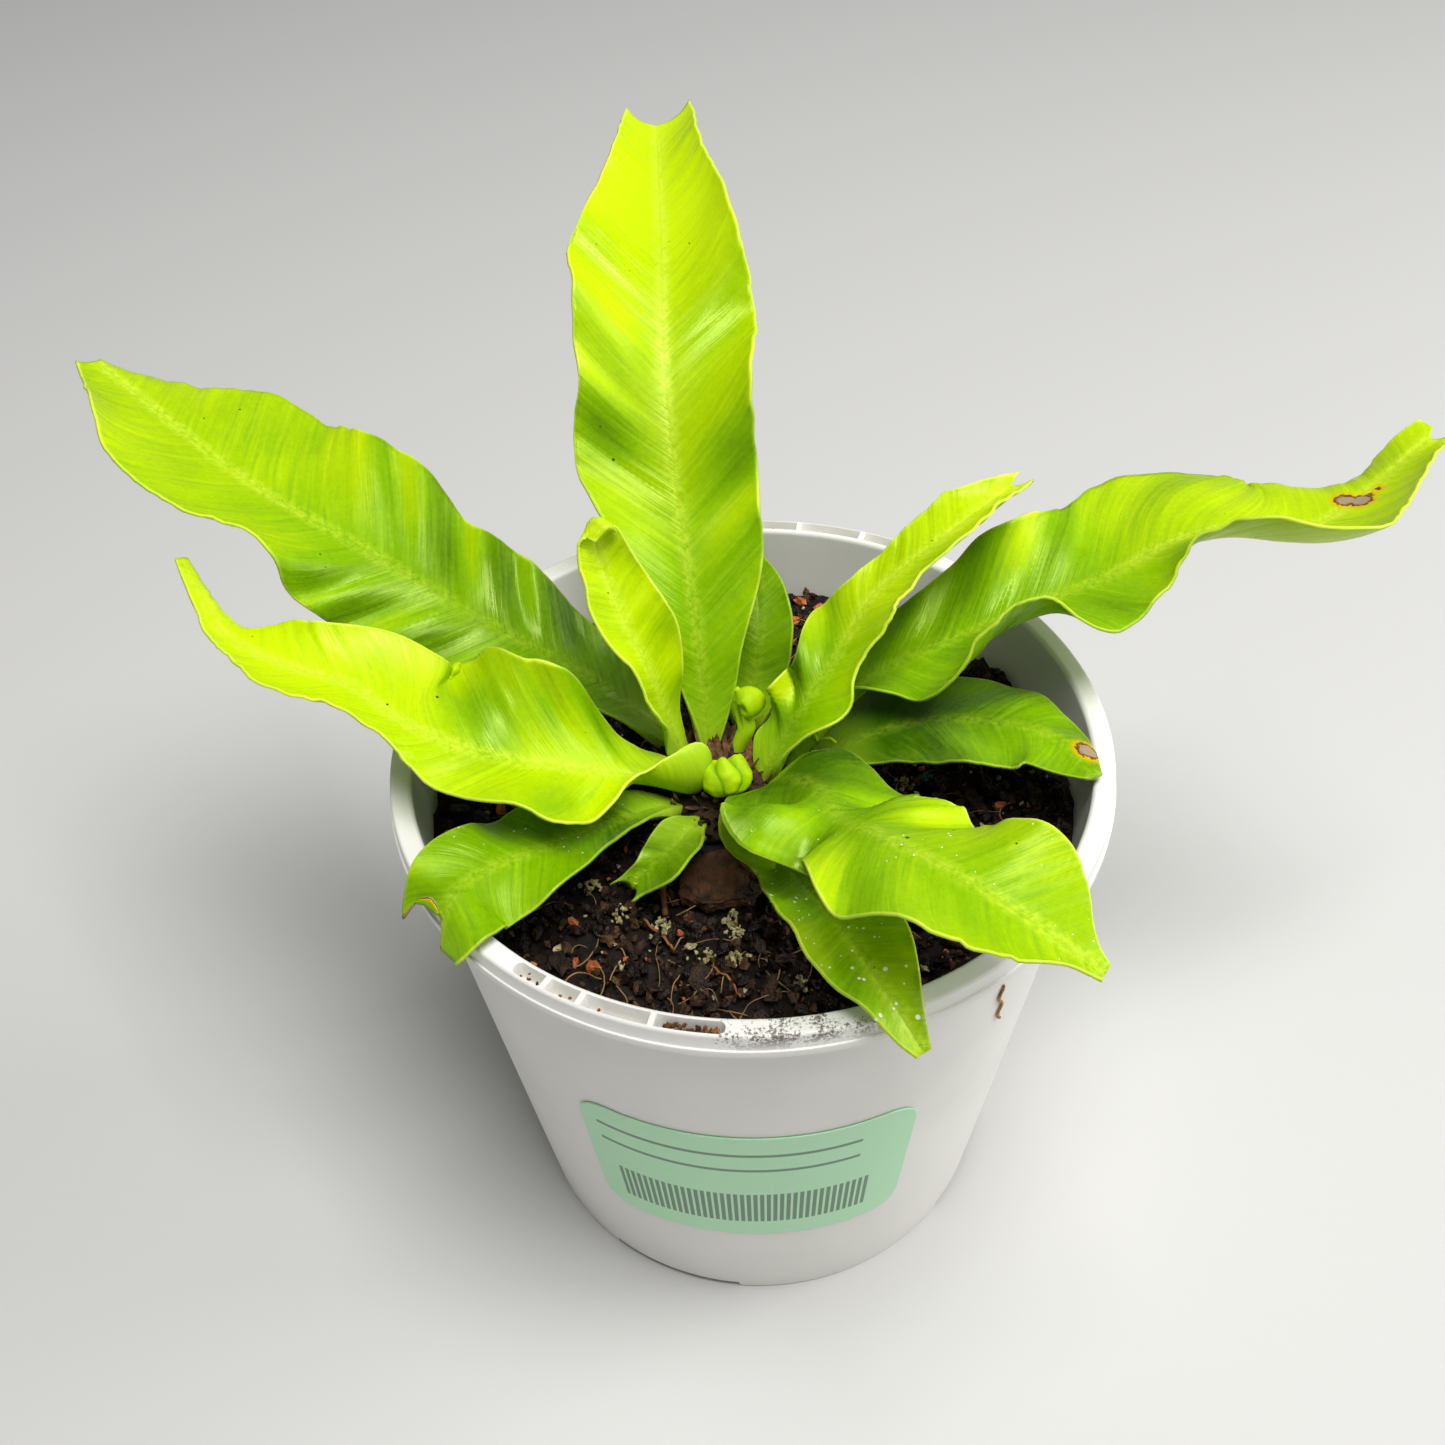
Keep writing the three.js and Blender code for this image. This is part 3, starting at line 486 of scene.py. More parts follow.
lumps = []
for k in range(LUMP_COUNT):
    reach = LUMP_REACH * math.sqrt((k + 0.5) / LUMP_COUNT)
    x, y = reach * math.cos(GOLDEN_ANGLE * k), reach * math.sin(GOLDEN_ANGLE * k)
    size = LUMP_SIZES[0] + (LUMP_SIZES[1] - LUMP_SIZES[0]) * chance(k)
    rise = LUMP_RISES[0] + (LUMP_RISES[1] - LUMP_RISES[0]) * chance(k + 100)
    if math.hypot(x - CHIP_PLACE[0], y - CHIP_PLACE[1]) > CHIP_REACH + size:
        lumps.append((x, y, size, rise))


def mix_height(x, y):
    """The height of the mix's surface, in mm: a low mound with lumps of bark and grit."""
    from_crown = (x - CROWN_CENTRE[0]) ** 2 + (y - CROWN_CENTRE[1]) ** 2
    mound = MOUND_HEIGHT * math.exp(-from_crown / MOUND_SPREAD)
    waves = 0.35 * math.sin(0.42 * x + 1) * math.cos(0.37 * y) + 0.2 * math.sin(0.9 * x - 0.8 * y)
    lump = 0
    for cx, cy, size, rise in lumps:
        away = math.hypot(x - cx, y - cy) / size
        if away < 1:
            lump = max(lump, rise * (1 - away * away))
    return MIX_LEVEL + mound + waves + lump


mix_floor = base_top + 0.3
mix_radius = wall_radius(MIX_LEVEL) - WALL - MIX_GAP
mix_profile = [(2, mix_floor), (wall_radius(mix_floor) - WALL - MIX_GAP, mix_floor)]
mix_profile += [(mix_radius, MIX_LEVEL - 1.5)]
mix_profile += [(mix_radius * (1 - k / MIX_RINGS) + 0.3, MIX_LEVEL)
                for k in range(MIX_RINGS + 1)]
mix = pulled_ring("mix_bed", mix_profile, 300)
for vertex in mix.data.vertices:
    x, y, z = vertex.co / MM
    if z > MIX_LEVEL - 1:
        rough = noise.fractal(Vector((x, y, 0)) * 0.45, 0.8, 2.1, 5)
        vertex.co.z = (mix_height(x, y) - 0.6 + MIX_ROUGHNESS * rough) * MM
smooth(mix, 60)


def crumb_material(name, dark, light, roughness, grain_mm, bump):
    """Broken plant or mineral matter: two colours in patches, with a rough broken surface."""
    material, tree, shader = new_material(name)
    coords = add(tree, "TexCoord").outputs["Object"]
    patches = add(tree, "TexNoise", {"Vector": coords, "Scale": 1 / (3.2 * MM), "Detail": 5.0,
                                     "Roughness": 0.65})
    grit = add(tree, "TexNoise", {"Vector": coords, "Scale": 1 / (grain_mm * MM), "Detail": 4.0})
    spread = add(tree, "MapRange", {"Value": patches.outputs["Fac"], "From Min": 0.36,
                                    "From Max": 0.66})
    colour = add(tree, "Mix", {0: spread.outputs[0], 6: rgb(dark), 7: rgb(light)},
                 data_type="RGBA")
    tree.links.new(colour.outputs[2], shader.inputs["Base Color"])
    relief = add(tree, "Bump", {"Height": grit.outputs["Fac"], "Strength": bump,
                                "Distance": grain_mm * MM})
    tree.links.new(relief.outputs[0], shader.inputs["Normal"])
    shader.inputs["Roughness"].default_value = roughness
    shader.inputs["Specular IOR Level"].default_value = 0.3
    return material


# Composted pine bark: dull and nearly black where it is moist, and dark brown where it has dried.
compost = crumb_material("composted pine bark", "#080503", "#22140a", 0.75, 0.4, 1.0)
mix.data.materials.append(compost)
belongs(mix, "potting_mix", "potting_mix")


def crumb_shapes(rng, count, stretch):
    """A few crumbs to copy from: small low balls, dented into facets and stretched."""
    shapes = []
    for k in range(count):
        crumb = primitive(bpy.ops.mesh.primitive_uv_sphere_add, "crumb", segments=7, ring_count=5,
                          radius=1)
        points = np.array([v.co for v in crumb.data.vertices])
        faces = [tuple(p.vertices) for p in crumb.data.polygons]
        bpy.data.objects.remove(crumb)
        dents = [0.8 + 0.75 * noise.noise(Vector(p) * 1.7 + Vector((9 * k, 5 * k, rng.random())))
                 for p in points]
        points = points * np.array(dents)[:, None]
        points = np.round(points * 3.2) / 3.2 * 0.45 + points * 0.55
        shapes.append((points * np.array(stretch), faces))
    return shapes


def turned_at_random(rng, tilt):
    """A spin about the upright axis, then a tilt of up to some radians, as a 3 by 3 array."""
    spin = Matrix.Rotation(rng.uniform(0, 2 * math.pi), 3, "Z")
    nod = Matrix.Rotation(rng.uniform(-tilt, tilt), 3, "X")
    sway = Matrix.Rotation(rng.uniform(-tilt, tilt), 3, "Y")
    return np.array(nod @ sway @ spin)


def joined(name, parts, material, slot):
    """One piece of many small closed parts, each given as its points in mm and its faces."""
    points, faces, count = [], [], 0
    for part_points, part_faces in parts:
        points.append(part_points)
        faces += [tuple(i + count for i in face) for face in part_faces]
        count += len(part_points)
    mesh = bpy.data.meshes.new(name)
    mesh.from_pydata((np.concatenate(points) * MM).tolist(), [], faces)
    mesh.materials.append(material)
    piece = bpy.data.objects.new(name, mesh)
    bpy.context.collection.objects.link(piece)
    belongs(piece, slot)
    return piece


def scattered(name, shapes, places, material, slot):
    """One piece of many crumbs: each place gives a position in mm, a size in mm and a turn."""
    parts = []
    for number, (spot, size, turned) in enumerate(places):
        shape, faces = shapes[number % len(shapes)]
        parts.append(((shape * size) @ turned.T + np.array(spot), faces))
    joined(name, parts, material, slot)


def on_the_mix(rng, margin):
    """A random spot on the mix, off the crown and the big chip, clear of the wall by a margin."""
    while True:
        r = (mix_radius - margin) * math.sqrt(rng.random())
        a = rng.uniform(0, 2 * math.pi)
        x, y = r * math.cos(a), r * math.sin(a)
        if math.hypot(x - CROWN_CENTRE[0], y - CROWN_CENTRE[1]) < CROWN_RADIUS:
            continue
        if math.hypot(x - CHIP_PLACE[0], y - CHIP_PLACE[1]) >= CHIP_REACH:
            return x, y


rng = random.Random(11)
bark_shapes = crumb_shapes(rng, 10, (1.0, 0.75, 0.6))
chip_shapes = crumb_shapes(rng, 10, (1.0, 0.55, 0.26))


def heap(count, margin, smallest, largest, power, tilt, sink):
    """Places for a kind of crumb, more of them small than large, strewn over the mix."""
    places = []
    for _ in range(count):
        x, y = on_the_mix(rng, margin)
        size = smallest + (largest - smallest) * rng.random() ** power
        z = mix_height(x, y) - sink + 0.45 * size
        places.append(((x, y, z), size, turned_at_random(rng, tilt)))
    return places


def laid(spots):
    """Places for crumbs that lie at known spots, each given as x, y and size in mm."""
    return [((x, y, mix_height(x, y) + 0.5 * size), size, turned_at_random(rng, 0.6))
            for x, y, size in spots]


# Moist bark crumbs: nearly black, with a faint wet glint. They lie everywhere.
moist = crumb_material("moist bark crumbs", "#0a0603", "#2b1a0d", 0.38, 0.3, 1.0)
scattered("moist_crumbs", bark_shapes, heap(2700, 0.9, 0.3, 1.7, 1.9, 3, 0.1), moist,
          "potting_mix")
# Dry bark crumbs: dull and brown, so that the bed looks loose and open.
dry = crumb_material("dry bark crumbs", "#20130a", "#6b4a2c", 0.8, 0.3, 1.0)
scattered("dry_crumbs", bark_shapes, heap(1500, 0.9, 0.25, 1.3, 2.0, 3, -0.1), dry, "potting_mix")
# Flaked pine bark: dark flat flakes, which show as calm shapes among the crumbs.
flat_bark = crumb_material("flaked pine bark", "#110904", "#40291a", 0.6, 0.35, 1.0)
flakes = heap(150, 2.4, 0.8, 2.1, 2.0, 1.3, -0.2)
flakes += laid([(2.5, -29.9, 2.2), (-5.4, -35.6, 2.6), (-13.9, -30.8, 2.4), (-11.9, -37.5, 2.2),
                (-31.5, -23.4, 3.0), (4.1, -36.9, 2.2), (-43.2, -6.2, 3.4), (-39.7, -7.5, 2.4),
                (29.6, -28.4, 2.6), (32.9, -2.2, 2.8), (41, 0.1, 2.6), (27.8, -2.4, 2.4),
                (-5.1, -39.7, 2.0), (-24.5, -33.7, 2.6)])
scattered("bark_flakes", chip_shapes, flakes, flat_bark, "potting_mix")
# Fired clay bits: matt brick orange, which stands out against the dark bark.
clay = crumb_material("fired clay bits", "#8f451f", "#cf7a48", 0.7, 0.3, 0.5)
bits = heap(110, 1.8, 0.3, 0.95, 1.8, 3, -0.2)
bits += laid([(-20, -33.6, 1.5), (-23.7, -26.2, 1.1), (-22.6, -32.8, 0.9), (-37.1, -5.4, 1.6),
              (-34.9, -4.7, 1.2), (25.3, -36.1, 1.3), (9.5, 41.5, 1.5), (6.1, 43.5, 1.3),
              (5.5, 37.5, 1.5), (13.5, 44, 1.4), (8.9, 32.7, 1.2), (36.6, -2.1, 1.2),
              (38.5, -6, 1.0), (23.2, 21.2, 1.4), (27.9, -30.2, 1.2)])
scattered("clay_bits", bark_shapes, bits, clay, "potting_mix")
# Pale mineral grit: small sandy grains without gloss, the lightest points of the mix.
grit = crumb_material("pale mineral grit", "#8d8058", "#d9cc9c", 0.8, 0.3, 0.8)
grains = heap(170, 1.8, 0.2, 0.6, 1.8, 3, -0.2)
grains += laid([(-25.3, -30.8, 0.9), (-14.5, -23.7, 0.8), (-12, -29, 1.0), (3.9, -31.9, 0.9),
                (-7.1, -29.7, 1.1), (0.7, -37, 0.9), (24.8, -32, 0.9), (-16.4, -33.4, 0.8)])
scattered("pale_grit", bark_shapes, grains, grit, "potting_mix")
# One fleck of algae, dull blue-green and a little damp, lies under the right-hand fronds.
fleck = crumb_material("blue-green algae fleck", "#123d30", "#2f7a5c", 0.5, 0.3, 0.5)
scattered("green_fleck", bark_shapes, laid([(25.9, 3.1, 1.3), (27, 2.6, 0.7)]), fleck,
          "potting_mix")
# Crumbling pale moss: dry straw-coloured clumps without gloss, loose heaps of many small grains.
# Each heap is given as x, y and reach in mm.
grains = []
for x, y, reach in [(-21.6, -20, 1.6), (-17.7, -24.8, 1.9), (-11.5, -26.3, 1.7),
                    (-1.5, -25.1, 1.6), (-0.8, -27.7, 1.5), (-0.6, -31.7, 1.6),
                    (-4.7, -31.8, 1.8), (8.4, -35.4, 1.5), (-10.3, -27.7, 1.2),
                    (22.8, 1.5, 2.0), (24.6, -0.9, 1.8), (-16.4, -3.1, 1.2)]:
    for _ in range(GRAINS_PER_CLUMP):
        dx, dy = rng.gauss(0, reach * 0.4), rng.gauss(0, reach * 0.4)
        size = rng.uniform(0.22, 0.6)
        z = mix_height(x, y) + rng.uniform(0.3, 1) * max(0.5, 1.9 - 0.6 * math.hypot(dx, dy))
        grains.append(((x + dx, y + dy, z), size, turned_at_random(rng, 3)))
clumps = crumb_material("crumbling pale moss", "#857746", "#dccf98", 0.85, 0.25, 1.0)
scattered("pale_clumps", bark_shapes, grains, clumps, "potting_mix")
# Dry peat crumbs: warm brown and matt. They have dropped into the open slots of the rim, from
# one turn to another in degrees.
grains = []
for start, end, count in [(-123, -119, 5), (-117, -114, 3), (-110, -107, 2), (-100, -92, 110),
                          (86, 90, 4)]:
    for _ in range(count):
        a = math.radians(rng.uniform(start, end))
        r = rng.uniform(SLOT_INNER + 0.5, SLOT_OUTER - 0.5)
        size = rng.uniform(0.25, 0.5)
        z = POT_HEIGHT - rng.uniform(0.6, 2.2)
        grains.append(((r * math.cos(a), r * math.sin(a), z), size, turned_at_random(rng, 3)))
slot_dirt = crumb_material("dry peat crumbs", "#4f3019", "#a5713f", 0.8, 0.3, 0.7)
scattered("slot_crumbs", bark_shapes, grains, slot_dirt, "potting_mix")


# Fine roots: thin fibres which grew through the mix. Most have dried and curled on top of it,
# some are still alive, and one has stuck to the outside of the wall.
DRY_ROOT_COUNT = 230
ROOT_BENDS = 14
WALL_ROOT_LENGTH = 12


def fibre_tube(path, radius, sides=5):
    """The points and faces of a thin tube along a path, in mm, closed at both ends."""
    path = np.array(path)
    heading = np.gradient(path, axis=0)
    heading /= np.linalg.norm(heading, axis=1)[:, None]
    aside = np.cross(heading, (0.13, 0.21, 0.97))
    aside /= np.linalg.norm(aside, axis=1)[:, None]
    over = np.cross(aside, heading)
    rings = []
    for k in range(sides):
        a = 2 * math.pi * k / sides
        rings.append(path + radius * (math.cos(a) * aside + math.sin(a) * over))
    points = np.stack(rings, axis=1).reshape(-1, 3)
    faces = []
    for i in range(len(path) - 1):
        for k in range(sides):
            a, b = i * sides + k, i * sides + (k + 1) % sides
            faces.append((a, b, b + sides, a + sides))
    faces.append(tuple(range(sides))[::-1])
    faces.append(tuple((len(path) - 1) * sides + k for k in range(sides)))
    return points, faces


def fibres(name, paths, material, slot):
    """One piece of many thin fibres, each with its path and radius."""
    piece = joined(name, [fibre_tube(path, radius) for path, radius in paths], material, slot)
    piece.data.shade_smooth()
    return piece


def curled_path(rng, x, y, length, curl, height):
    """A path that wanders over the mix from a spot, rising and dipping a little."""
    heading = rng.uniform(0, 2 * math.pi)
    bend = rng.uniform(-curl, curl)
    path = []
    for k in range(ROOT_BENDS + 1):
        lift = 0.3 + height * math.sin(math.pi * k / ROOT_BENDS)
        path.append((x, y, mix_height(x, y) + lift))
        x += length / ROOT_BENDS * math.cos(heading)
        y += length / ROOT_BENDS * math.sin(heading)
        heading += bend / ROOT_BENDS + rng.uniform(-0.18, 0.18)
    return path


paths = []
for _ in range(DRY_ROOT_COUNT):
    x, y = on_the_mix(rng, 6)
    path = curled_path(rng, x, y, rng.uniform(2.5, 10), 2.0, rng.uniform(0.1, 1.3))
    if max(math.hypot(px, py) for px, py, _ in path) < mix_radius - 1:
        paths.append((path, rng.uniform(0.045, 0.11)))
# Dried roots: dull and tan like straw, light against the bark.
straw = crumb_material("dried roots", "#7a5a34", "#b08d5c", 0.7, 0.4, 0.3)
fibres("dry_roots", paths, straw, "potting_mix")


def lying(spots, lift):
    """A path over the mix through a few spots, held a little above it."""
    track = np.array(spots, float)
    steps = np.linspace(0, len(spots) - 1, 12)
    xs = np.interp(steps, range(len(spots)), track[:, 0])
    ys = np.interp(steps, range(len(spots)), track[:, 1])
    return [(x, y, mix_height(x, y) + lift + 0.3 * math.sin(2 * k))
            for k, (x, y) in enumerate(zip(xs, ys))]


# Fresh roots: thicker and reddish brown, with a slight sheen. They cross the front of the mix.
roots = [(lying([(-11.8, -17.8), (-11.5, -21), (-10.9, -25)], 1.2), 0.45),
         (lying([(-6.6, -22.5), (-2.6, -22), (0.8, -22.9)], 1.6), 0.24),
         (lying([(-13.9, -25.6), (-11.2, -28.4), (-9.4, -30.8)], 1.0), 0.2),
         (lying([(-4, -33), (-1, -36), (0.2, -38.5)], 0.9), 0.16)]
fibres("fresh_roots", roots, crumb_material("fresh roots", "#5a3319", "#a8703c", 0.6, 0.4, 0.3),
       "potting_mix")
# Old root: bleached tan and matt, dried onto the outside of the wall from the step downwards.
wall_root = []
for k in range(WALL_ROOT_LENGTH + 1):
    z = STEP_HEIGHT + 0.5 - k
    a = math.radians(-44.3 + 3.4 * k / WALL_ROOT_LENGTH + 0.5 * math.sin(1.1 * k))
    r = wall_radius(z) + 0.18
    wall_root.append((r * math.cos(a), r * math.sin(a), z))
old_root = crumb_material("old root", "#8a6038", "#c79c68", 0.8, 0.4, 0.4)
fibres("wall_root", [(wall_root, 0.26)], old_root, "potting_mix")


# The bark chip: one broad flat flake of pine bark, which lies on the mix in front of the crown.
# It has broken layers at its edge and fine ridges along its grain.
CHIP_OUTLINE = [(-6, -3), (-2, -5), (4, -4.5), (6.5, -1), (5, 3.5), (0, 4.5), (-5, 3)]
CHIP_THICKNESS = 1.7
CHIP_TURNS = (3, -2, 8)
CHIP_SEED = 1795763053

chip = primitive(bpy.ops.mesh.primitive_circle_add, "chip_flake", vertices=len(CHIP_OUTLINE),
                 radius=1, fill_type="NGON")
for vertex, (x, y) in zip(chip.data.vertices, CHIP_OUTLINE):
    vertex.co = Vector((x, y, -0.3))
bpy.ops.object.mode_set(mode="EDIT")
bpy.ops.mesh.select_all(action="SELECT")
bpy.ops.mesh.extrude_region_move(TRANSFORM_OT_translate={"value": (0, 0, CHIP_THICKNESS)})
bpy.ops.mesh.inset(thickness=0.5, depth=0.15)
bpy.ops.mesh.select_all(action="SELECT")
bpy.ops.mesh.normals_make_consistent(inside=False)
bpy.ops.mesh.quads_convert_to_tris()
bpy.ops.mesh.subdivide(number_cuts=9)
bpy.ops.object.mode_set(mode="OBJECT")
# Vector noise starts from the clock unless it is seeded: the seed gives the same chip each time.
noise.seed_set(CHIP_SEED)
for vertex in chip.data.vertices:
    p = vertex.co.copy()
    ragged = noise.noise_vector(p * 0.8) * 0.45 + noise.noise_vector(p * 2.4) * 0.3
    ridge = 0.4 * noise.noise(Vector((p.x * 0.25, p.y * 2.0, 3)))
    vertex.co = p + Vector((ragged.x, ragged.y, 0.5 * ragged.z + ridge))
chip.rotation_euler = [math.radians(a) for a in CHIP_TURNS]
chip.scale = (MM, MM, MM)
chip.location = Vector(CHIP_PLACE) * MM
bake_place(chip)
smooth(chip, 35)
# Pine bark flake: dry and dull, dark in its dips and brown on the ridges that catch the light.
bark = crumb_material("pine bark flake", "#1f1206", "#573719", 0.75, 0.3, 1.0)
chip.data.materials.append(bark)
belongs(chip, "bark", "bark_chip")


# The crown: the fern's short upright rhizome. It is brown, matted with papery scales and old
# roots, and the stipes and the croziers stand out of it.
CROWN_TOP = 84.6
CROWN_SEAT = 67
DARKENING_TOP = 84.6
DARKENING_BOTTOM = 83.4
SCALE_COUNT = 330
SCALE_LENGTHS = (1.6, 3.6)


def darkened_below(material):
    """Darkens a material of the crown towards the bottom, to nearly black below its top."""
    tree = material.node_tree
    shader = tree.nodes["Principled BSDF"]
    # The colour at the top, before it darkens towards the bottom.
    dry = shader.inputs["Base Color"].links[0].from_socket
    place = add(tree, "SeparateXYZ", {"Vector": add(tree, "TexCoord").outputs["Object"]})
    darkening = add(tree, "MapRange", {"Value": place.outputs["Z"], "From Min": DARKENING_TOP * MM,
                                  "From Max": DARKENING_BOTTOM * MM, "To Max": 0.85})
    colour = add(tree, "Mix", {0: darkening.outputs[0], 6: dry, 7: rgb("#0e0603")}, data_type="RGBA")
    tree.links.new(colour.outputs[2], shader.inputs["Base Color"])


shoulder = MIX_LEVEL + 1
crown_profile = [(1, CROWN_SEAT), (CROWN_RADIUS - 1, CROWN_SEAT), (CROWN_RADIUS, CROWN_SEAT + 1.5)]
crown_profile += [(CROWN_RADIUS, z) for z in (72, 75, 77.5)]
for k in range(22):
    a = math.radians(90 * k / 22)
    z = shoulder + (CROWN_TOP - shoulder) * math.sin(a)
    crown_profile.append((CROWN_RADIUS * math.cos(a), z))
crown = pulled_ring("crown_body", crown_profile, 96)
for vertex in crown.data.vertices:
    x, y, z = vertex.co / MM
    a = math.atan2(y, x)
    knobs = 0.93 + 0.04 * math.sin(5 * a + 0.9 * z) + 0.04 * math.sin(8 * a - 1.3 * z)
    rough = 0.5 * noise.fractal(Vector((x, y, z)) * 0.5, 1.0, 2.0, 3) if z > MIX_LEVEL - 2 else 0
    out = knobs + rough / CROWN_RADIUS
    x, y, z = x * out + CROWN_CENTRE[0], y * out + CROWN_CENTRE[1], z + 0.8 * min(rough, 0)
    vertex.co = Vector((x, y, z)) * MM
smooth(crown, 60)
# Matted old scales and hairs: dull brown at the top, nearly black lower down.
matted = crumb_material("matted rhizome", "#1c0e06", "#8a5f3c", 0.85, 0.4, 1.0)
darkened_below(matted)
crown.data.materials.append(matted)
belongs(crown, "rhizome", "crown")


def scale_shape():
    """One papery scale, 1 long: a narrow pointed leaf, cupped and thin, closed all round."""
    steps = 6
    points, faces = [], []
    for i in range(steps + 1):
        t = i / steps
        half = 0.17 * math.sin(math.pi * min(1, 0.15 + 0.85 * t)) ** 0.8 + 0.004
        rise = 0.22 * t * t
        points += [(-half, t, rise), (0, t, rise - 0.04), (half, t, rise), (0, t, rise + 0.03)]
    for i in range(steps):
        for k in range(4):
            a, b = 4 * i + k, 4 * i + (k + 1) % 4
            faces.append((a, b, b + 4, a + 4))
    faces += [(3, 2, 1, 0), tuple(4 * steps + k for k in range(4))]
    return np.array(points), faces


rng = random.Random(5)
scale_points, scale_faces = scale_shape()
scales = []
for _ in range(SCALE_COUNT):
    a = rng.uniform(0, 2 * math.pi)
    r = CROWN_RADIUS * 0.95 * math.sqrt(rng.random())
    lift = math.sqrt(max(0, 1 - (r / CROWN_RADIUS) ** 2))
    z = shoulder + (CROWN_TOP - shoulder) * lift - 0.6
    length = rng.uniform(*SCALE_LENGTHS)
    pitch = Matrix.Rotation(rng.uniform(0.2, 1.1), 3, "X")
    turned = Matrix.Rotation(a + rng.uniform(-0.9, 0.9) - math.pi / 2, 3, "Z") @ pitch
    spot = np.array((CROWN_CENTRE[0] + r * math.cos(a), CROWN_CENTRE[1] + r * math.sin(a), z))
    scales.append(((scale_points * length) @ np.array(turned).T + spot, scale_faces))
# Papery scales: tan and thin with a dull sheen, and darker lower down.
papery = crumb_material("papery scales", "#241208", "#a87a50", 0.6, 0.7, 0.5)
darkened_below(papery)
joined("crown_scales", scales, papery, "rhizome")


# The fronds: each is one undivided blade, thin and leathery, waved to both sides of a stout
# midrib. A short stipe stands in the crown. They are grown, so each has its own curve.
BLADE = 0.75
MARGIN = 0.42
STIPE = 2.2
STIPE_LENGTH = 11
KEEL = 0.8
GROOVE = 0.18
GROOVE_WIDTH = 0.55
PLEAT = 0.13
FINE_PLEAT = 0.07
FRILL = 0.12
FRILL_PITCH = 5.3
CLEFT_START = 0.8
VEIN_SLANT = 0.62
ROW_PITCH = 0.7
HALF_COLUMNS = 18
# How much the slopes of the waves darken or lighten the tone: painted shade and painted light.
SLOPE_SHADE = 0.5
UNHARMED = 9.0
